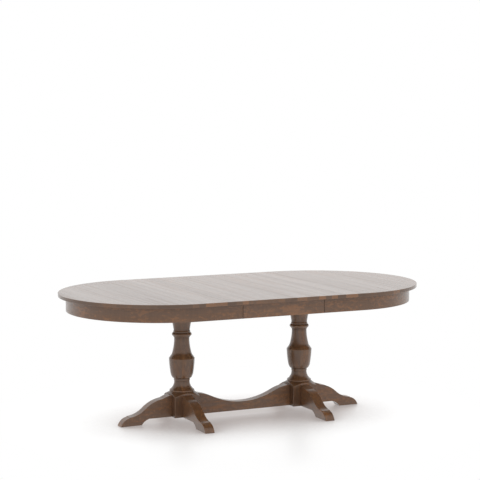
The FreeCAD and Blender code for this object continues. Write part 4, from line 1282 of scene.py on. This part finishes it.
@dataclass(frozen=True)
class Top:
    """The two half tops and the leaf, each a board over a length of apron."""

    edge_round: float = 0.0015
    seam_ease: float = 0.0006
    apron_ease: float = 0.0008
    apron_end_chamfer: float = 0.0015
    end_stain_fade: float = 0.5
    apron_fade: float = 0.0012
    apron_thickness: float = 0.019
    pin_pitch: float = 0.400
    pin_shift: float = 0.025
    pin_room: float = 0.0044
    pin_reach: float = 0.0124
    hole_room: float = 0.006

    # How finely the outlines are drawn.
    bend_angle: float = math.radians(1.5)
    straight_step: float = 0.05

    # Where each apron's figure starts, so that no two look the same.
    bent_figure_step: float = 0.8
    straight_figure: float = 1.2
    straight_figure_step: float = 0.7

    def build(self, shop: Workshop) -> None:
        """Make the boards and the aprons.

        Args:
            shop: what dresses and places each piece.
        """
        for side, hand in (("left", -1), ("right", 1)):
            self._half_board(shop, side, hand)
            self._half_apron(shop, side, hand)
        self._leaf(shop)

    def _half_board(self, shop: Workshop, side: str, hand: int) -> None:
        """Saw one half: straight sides and a half-round end, rounded over at the rim.

        Args:
            shop: what dresses and places it.
            side: left or right.
            hand: -1 for the left half, 1 for the right one.
        """
        low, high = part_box("top_" + side)
        seam, tip = sorted((abs(low.x), abs(high.x)))
        radius = high.y
        middle = tip - radius
        bulge = radius * QUARTER_BULGE_SHARE
        corners = [(seam, -radius), (middle, -radius, bulge), (tip, 0.0, bulge), (middle, radius),
                   (seam, radius)]
        holes = [place + self.pin_shift for place in (self.pin_pitch, 0.0, -self.pin_pitch)]
        for hole in holes:
            corners += [(seam, hole + self.hole_room), (seam, hole - self.hole_room)]
        path = outline(corners, True, self.bend_angle, self.straight_step)
        rounds = edge_rounds(np.abs(path[:, 0] - seam) < MATCH, self.seam_ease, self.edge_round)
        axes = (np.zeros(3), X_AXIS * hand, Y_AXIS * hand)
        patch = self._end_grain(board_patch(path, rounds, low.z, high.z, axes))
        side_row = len(patch.points) // len(path) // 2 - 1
        for hole in holes:
            column = int(np.argmin(np.abs(path - (seam, hole + self.hole_room)).sum(1)))
            centre = np.array([seam * hand, hole * hand, (low.z + high.z) / 2])
            patch = drilled(patch, side_row * len(path) + column, centre, self.pin_room, self.pin_reach)
        shop.place("half_top_" + side, patch, self._top_grain(), "stained_top", "top_boards",
                   side + "_top", "top_" + side)

    def _dark_ends(self, patch: Patch, seam: float) -> Patch:
        """Mark an apron's sawn ends and their chamfers, where the stain soaks in.

        Args:
            patch: the apron.
            seam: how far its ends lie from the middle.

        Returns:
            The marked patch.
        """
        fade = self.apron_end_chamfer * self.end_stain_fade
        away = np.abs(np.abs(patch.points[:, 0]) - seam)
        patch.marks[:, 1] = np.clip((self.apron_end_chamfer + fade - away) / fade, 0, 1)
        patch.marks[:, 0] *= 1 - patch.marks[:, 1]
        return patch

    def _end_grain(self, patch: Patch) -> Patch:
        """Mark the end grain along the front and back edges, where the boards are cut across.

        Args:
            patch: a board of the top.

        Returns:
            The marked patch.
        """
        _, y, level = np.abs(patch.points).T
        on_side = (level < level.max() - MATCH) & (level > level.min() + MATCH)
        patch.marks[:, 2] = (y / y.max()) ** 2 * on_side
        return patch

    def _top_grain(self) -> Grain:
        """Grain from front to back, in boards laid side by side along the table."""
        return straight_grain(Y_AXIS, X_AXIS, 0.0)

    def _half_apron(self, shop: Workshop, side: str, hand: int) -> None:
        """Bend one apron: two straight runs and a half-round end.

        Args:
            shop: what dresses and places it.
            side: left or right.
            hand: -1 for the left half, 1 for the right one.
        """
        node = "apron_" + side
        low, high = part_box(node)
        seam, tip = sorted((abs(low.x), abs(high.x)))
        outer = high.y
        inner = outer - self.apron_thickness
        middle = tip - outer
        cut = self.apron_end_chamfer
        near, clear = seam + cut, seam + cut * 2
        out, back = outer * QUARTER_BULGE_SHARE, -inner * QUARTER_BULGE_SHARE
        corners = [(seam, cut - outer), (near, -outer), (clear, -outer), (middle, -outer, out),
                   (tip, 0.0, out), (middle, outer), (clear, outer), (near, outer), (seam, outer - cut),
                   (seam, inner), (clear, inner), (middle, inner, back), (middle + inner, 0.0, back),
                   (middle, -inner), (clear, -inner), (seam, -inner)]
        path = outline(corners, True, self.bend_angle, self.straight_step)
        patch = self._apron_patch(path, low.z, high.z, hand, seam)

        def bent_grain(points: Array) -> Array:
            """Grain that follows the bend: along is the way round, from the back seam.

            Args:
                points: rows of three in the frame.

            Returns:
                Each point's place along, across and through the grain.
            """
            x, y = points[:, 0] * hand, points[:, 1] * hand
            past = np.maximum(x - middle, 0.0)
            straight = np.minimum(x, middle)
            turn = np.arctan2(past, y)
            run = np.where(y > 0, straight, 2 * middle - straight) + outer * turn
            depth = np.where(past > 0, np.hypot(past, y), np.abs(y)) - inner
            return np.stack([run + hand * self.bent_figure_step, points[:, 2] - low.z, depth], 1)

        shop.place("bent_" + node, patch, bent_grain, "stained_apron", "apron_boards",
                   side + "_top", node)

    def _apron_patch(self, path: Array, low: float, high: float, hand: int, seam: float) -> Patch:
        """A length of apron sawn to its outline, with its ends marked.

        Args:
            path: the outline, in the half's own axes.
            low: where the lower edge lies.
            high: where the upper edge lies.
            hand: -1 turns the outline half round, 1 leaves it.
            seam: how far the ends lie from the middle.

        Returns:
            The apron's patch.
        """
        axes = (np.zeros(3), X_AXIS * hand, Y_AXIS * hand)
        rounds = np.full(len(path), self.apron_ease)
        return self._dark_ends(board_patch(path, rounds, low, high, axes, self.apron_fade), seam)

    def _slotted_side(self, seam: float, back: float, hand: int) -> list[tuple[float, float]]:
        """One seam side of the leaf's underside, from its first corner up to its last.

        Args:
            seam: how far the side lies from the middle.
            back: how far its corners lie from the middle, to the front and to the back.
            hand: 1 for the right side, -1 for the left one.

        Returns:
            The corners, with a slot for each of the half's pins.
        """
        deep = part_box("top_right")[0].x - self.pin_reach
        corners = [(seam * hand, -back * hand)]
        for place in (-self.pin_pitch, 0.0, self.pin_pitch):
            near = place - self.pin_shift - self.pin_room
            far = place - self.pin_shift + self.pin_room
            turns = ((seam, near), (deep, near), (deep, far), (seam, far))
            corners += [(x * hand, y * hand) for x, y in turns]
        return corners

    def _leaf_patch(self, low: Array, high: Array) -> Patch:
        """The leaf: slots for the pins are open below, and its boards close over them.

        The rows below the slots' ceiling follow the outline with the slots in it. Those
        above it follow the plain outline, where a slot's inner corners lie at its mouth.

        Args:
            low: the lowest corner of the leaf's box.
            high: the highest corner.

        Returns:
            The leaf's patch.
        """
        corners = self._slotted_side(high[0], high[1], 1) + [(high[0], high[1])]
        corners += self._slotted_side(high[0], high[1], -1) + [(low[0], low[1])]
        path = outline(corners, longest=self.straight_step)
        x, y = np.abs(path).T
        deep = (x < high[0] - MATCH) & (y < high[1] - MATCH)
        seam = (x > high[0] - MATCH) & ~deep
        wall = deep | np.roll(deep, -1)
        rounds = edge_rounds(seam, self.seam_ease, self.edge_round)
        rows = rounded_rows(path, np.where(wall, 0.0, rounds), WEAR_REACH)
        plain = path[~deep]
        plain_rounds = edge_rounds(seam[~deep], self.seam_ease, self.edge_round)
        place = (np.cumsum(~deep) - 1 + (deep & np.roll(deep, 1))) % len(plain)
        plain_rows = rounded_rows(plain, plain_rounds, WEAR_REACH)[:, place]
        ceiling = (low[2] + high[2]) / 2 + self.pin_room
        flat = np.zeros((len(path), 1))
        under = np.concatenate([path, flat + ceiling, flat], 1)[None]
        over = np.concatenate([plain[place], flat + ceiling, flat], 1)[None]
        lower = np.concatenate([rows + (0, 0, low[2], 0), under, over])
        upper = plain_rows * DOWNWARD + (0, 0, high[2], 0)
        patch = stacked_board(lower, upper, (np.zeros(3), X_AXIS, Y_AXIS))
        in_slot = np.tile(deep, len(lower) + len(upper))
        # Inside the slots, below their ceiling, the mark is painted shade.
        patch.marks[:, 1] = in_slot & (patch.points[:, 2] < ceiling + MATCH)
        return patch

    def _leaf(self, shop: Workshop) -> None:
        """Saw the leaf and its two lengths of apron.

        Args:
            shop: what dresses and places each piece.
        """
        patch = self._end_grain(self._leaf_patch(*solid_box("leaf")))
        shop.place("leaf_board", patch, self._top_grain(), "stained_top", "top_boards", "leaf", "leaf")
        for node, hand in (("leaf_apron_front", -1), ("leaf_apron_back", 1)):
            low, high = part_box(node)
            inner, face = sorted((abs(low.y), abs(high.y)))
            end, cut = high.x, self.apron_end_chamfer
            near, clear = end - cut, end - cut * 2
            corners = [(-end, inner), (-clear, inner), (clear, inner), (end, inner), (end, face - cut),
                       (near, face), (clear, face), (-clear, face), (-near, face), (-end, face - cut)]
            path = outline(corners, longest=self.straight_step)
            patch = self._apron_patch(path, low.z, high.z, hand, end)
            offset = self.straight_figure + hand * self.straight_figure_step
            grain = straight_grain(X_AXIS, Z_AXIS, offset)
            shop.place("straight_" + node, patch, grain, "stained_apron", "apron_boards", "leaf", node)


@dataclass(frozen=True)
class RunningGear:
    """What carries the top and lets it slide: bearers, rails, racks, the gear and hardware."""

    lengthways: tuple[str, ...] = ("rail_fixed_back", "rail_fixed_front", "slide_left_back",
                                   "slide_left_front", "slide_right_back", "slide_right_front",
                                   "rack_block_left", "rack_block_right", "rack_guides", "leaf_blocks",
                                   "glue_blocks_left", "glue_blocks_right")
    crossways: tuple[str, ...] = ("bearer_left", "bearer_right", "bridge", "end_batten_left",
                                  "end_batten_right")
    pegs: tuple[str, ...] = ("foot_dowels_left", "foot_dowels_right", "seam_pins_left",
                             "seam_pins_right")
    nylon: tuple[str, ...] = ("pinion", "rack_left", "rack_right")
    glides: tuple[str, ...] = ("foot_glides_left", "foot_glides_right")

    def build(self, shop: Workshop) -> None:
        """Dress every solid that no other class stands for.

        Args:
            shop: what dresses and places each piece.
        """
        shop.dress("planed_lengthways", self.lengthways)
        shop.dress("planed_crossways", self.crossways)
        shop.dress("planed_pegs", self.pegs)
        shop.dress("moulded_nylon", self.nylon)
        shop.dress("glide_plastic", self.glides)
        steel = [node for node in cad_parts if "screws" in node or "bolt" in node
                 or "nut" in node or "stop_pins" in node]
        shop.dress("zinc_plate", steel)


# The studio


@dataclass(frozen=True)
class Studio:
    """A white sweep under soft light, seen as the photograph sees the table."""

    # The camera, whose focal length is in pixels of the photograph.
    photo_pixels: float = 480.0
    focal_pixels: float = 1589.281
    sensor: float = 36.0
    camera_place: tuple[float, float, float] = (-4.018026, -8.294415, 1.922138)
    camera_yaw: float = 0.45016
    camera_pitch: float = 0.09613

    # The floor: its shade for the light it throws back, and its two shades where the camera
    # sees it covered, one lit by the lamps and one a glowing painted shadow, with the painted
    # shadow's share; both are tinted warm as painted light thrown back from the wood.
    floor_reach: float = 60.0
    floor_grey: float = 0.95
    floor_seen: Colour = (0.670, 0.640, 0.630)
    floor_painted_shadow: Colour = (0.560, 0.510, 0.495)
    painted_shadow_share: float = 0.7

    # Its soft gloss, and how far its white stands over full, so that faint gloss fades out.
    floor_gloss: float = 0.19
    floor_rough: float = 0.30
    floor_spare: float = 1.07

    # How far up it looks for cover, which sets its painted shadow, and how open it is where that
    # painted shadow starts and ends to turn white; and how far from the middle it starts and ends to
    # turn plain white.
    sky_reach: float = 1.2
    sky_low: float = 0.28
    sky_high: float = 0.80
    white_from: float = 0.8
    white_to: float = 1.5
    sky_samples: int = 16

    # The softbox, and what it is turned to.
    aim: tuple[float, float, float] = (0.0, 0.0, 0.4)
    back_place: tuple[float, float, float] = (1.5, 2.8, 4.2)
    back_side: float = 2.6
    back_power: float = 250.0

    def build(self) -> None:
        """Set up the camera, the floor, the light and the view."""
        self._camera()
        self._floor()
        self._world()
        self._lamp()
        bpy.context.scene.view_settings.view_transform = "Standard"

    def _camera(self) -> None:
        """Stand the camera where the photograph was taken."""
        data = bpy.data.cameras.new("camera")
        data.sensor_width = self.sensor
        data.lens = self.focal_pixels / self.photo_pixels * self.sensor
        data.clip_end = 4 * self.floor_reach
        camera = bpy.data.objects.new("camera", data)
        camera.location = self.camera_place
        camera.rotation_euler = (math.pi / 2 - self.camera_pitch, 0.0, -self.camera_yaw)
        bpy.context.scene.collection.objects.link(camera)
        bpy.context.scene.camera = camera

    def _seen(self, bench: Bench) -> Wire:
        """Which rays show something: straight from the camera, or off or through a surface.

        Args:
            bench: the floor's bench.

        Returns:
            1 for such a ray, 0 for any other.
        """
        path = bench.add("ShaderNodeLightPath").socket.node.outputs
        kinds = ("Is Camera Ray", "Is Glossy Ray", "Is Transmission Ray")
        camera_ray, glossy_ray, passing_ray = (Wire(bench, path[kind]) for kind in kinds)
        either = camera_ray + glossy_ray + passing_ray
        return either.maths("MINIMUM", either, 1.0)

    def _floor(self) -> None:
        """Lay the pale floor, which shows white where nothing shades it, and under the table a painted
        shadow mixed with the lamps' own shadow.

        Away from the table it turns to plain white, as the backdrop is, so it has no horizon,
        and a camera under it sees through it to the table's underside.
        """
        reach = self.floor_reach
        mesh = bpy.data.meshes.new("floor")
        corners = [(-reach, -reach, 0), (reach, -reach, 0), (reach, reach, 0), (-reach, reach, 0)]
        mesh.from_pydata(corners, [], [(0, 1, 2, 3)])
        floor = bpy.data.objects.new("floor", mesh)
        bpy.context.scene.collection.objects.link(floor)
        material, bench = new_material("pale_floor")
        white = bench.surface("ShaderNodeEmission", WHITE, strength=1.0)
        bright = bench.surface("ShaderNodeEmission", WHITE, strength=self.floor_spare)
        plain = bench.surface("ShaderNodeBsdfDiffuse", (self.floor_grey,) * 3)
        lit = bench.surface("ShaderNodeBsdfDiffuse", self.floor_seen)
        # Glowing shade: the painted shadow where the floor is covered.
        painted_shadow = bench.surface("ShaderNodeEmission", self.floor_painted_shadow, strength=1.0)
        mirror = bench.surface("ShaderNodeBsdfGlossy", WHITE, roughness=self.floor_rough)
        sky = bench.add("ShaderNodeAmbientOcclusion", {"samples": self.sky_samples},
                        {"Distance": self.sky_reach}, "AO")
        open_sky = sky.ramp(self.sky_low, self.sky_high)
        # Painted shadow: the more cover above, the more of the glowing shade mixes into the lamp-lit
        # floor; open floor turns white.
        lit_and_painted_shadow = bench.cover(open_sky, bench.cover(self.painted_shadow_share, lit, painted_shadow), bright)
        x, y, _ = bench.split(bench.spot())
        far = (x * x + y * y).root().ramp(self.white_from, self.white_to)
        swept = bench.cover(far, bench.cover(self.floor_gloss, lit_and_painted_shadow, mirror), white)
        camera_ray = bench.add("ShaderNodeLightPath", None, None, "Is Camera Ray")
        mixed = bench.cover(self._seen(bench), plain, bench.cover(camera_ray, white, swept))
        below = bench.add("ShaderNodeNewGeometry", None, None, "Backfacing")
        clear = bench.add("ShaderNodeBsdfTransparent")
        sided = bench.cover(below * camera_ray, mixed, clear)
        bench.add("ShaderNodeOutputMaterial", None, {"Surface": sided})
        mesh.materials.append(material)

    def _world(self) -> None:
        """Surround the table with even white light."""
        world = bpy.data.worlds.new("studio")
        bpy.context.scene.world = world
        world.use_nodes = True
        bench = Bench(world.node_tree)
        light = bench.surface("ShaderNodeBackground", WHITE, strength=1.0)
        bench.add("ShaderNodeOutputWorld", None, {"Surface": light})

    def _lamp(self) -> None:
        """Hang the softbox above and behind the table, turned to it, where gloss doesn't show it."""
        data = bpy.data.lights.new("back_softbox", "AREA")
        data.size, data.energy = self.back_side, self.back_power
        lamp = bpy.data.objects.new("back_softbox", data)
        lamp.location = self.back_place
        back = np.array(self.back_place) - np.array(self.aim)
        away = back / np.linalg.norm(back)
        lamp.rotation_euler = (math.acos(away[2]), 0.0, math.atan2(away[0], -away[1]))
        lamp.visible_glossy = False
        bpy.context.scene.collection.objects.link(lamp)


def make_finishes() -> dict[str, bpy.types.Material]:
    """Make every finish.

    Returns:
        The materials, each under the name that pieces ask for.
    """
    recipes = (
        # Each finish's overall lightness is partly painted light: the top's is lowered under the
        # softbox, its rim lifted back, and the aprons' and sawn boards' raised in place of a front
        # lamp.
        StainedBirch("stained_top", board=0.0508, unevenness=0.018, figure=0.45, mottle=0.35,
                     tone_and_painted_light=0.84, tone_swing=0.06, end_contrast=0.30, end_tone_and_painted_light=0.24,
                     streaks=Scatter((0.9, 34.0, 34.0), 3.0, 0.55), lacquer=1.0, film_index=1.60,
                     seed=11.0),
        StainedBirch("stained_apron", board=1.0, joint_shift=0.2, figure=0.5, mottle=0.95,
                     tone_and_painted_light=1.24, film_rough=0.25, seed=5.0),
        StainedBirch("stained_posts", board=0.052, figure=0.8, mottle=0.5, tone_swing=0.09,
                     tone_and_painted_light=1.25, film_index=1.58, film_rough=0.24, seed=2.0),
        StainedBirch("stained_boards", board=1.0, joint_shift=0.2, figure=0.7, mottle=0.8,
                     tone_and_painted_light=1.38, film_rough=0.28, seed=8.0),
        PlanedBirch("planed_lengthways", Along.LENGTH),
        PlanedBirch("planed_crossways", Along.WIDTH, seed=1.0),
        PlanedBirch("planed_pegs", Along.LENGTH, pale=(0.60, 0.45, 0.28), seed=2.0),
        ZincPlate(),
        MouldedPlastic("moulded_nylon", (0.78, 0.76, 0.69), (0.72, 0.70, 0.62), 0.42),
        MouldedPlastic("glide_plastic", (0.10, 0.09, 0.08), (0.13, 0.12, 0.11), 0.50),
    )
    return {recipe.name: recipe.make() for recipe in recipes}


def main() -> None:
    """Build the table and the studio."""
    shop = Workshop(make_finishes())
    for section in (Pedestal("left", -1), Pedestal("right", 1), Stretcher(), Top(), RunningGear()):
        section.build(shop)
        log.info("%s done", type(section).__name__)
    Studio().build()


if __name__ == "__main__":
    logging.basicConfig(level=logging.INFO, format="%(name)s %(message)s")
    main()
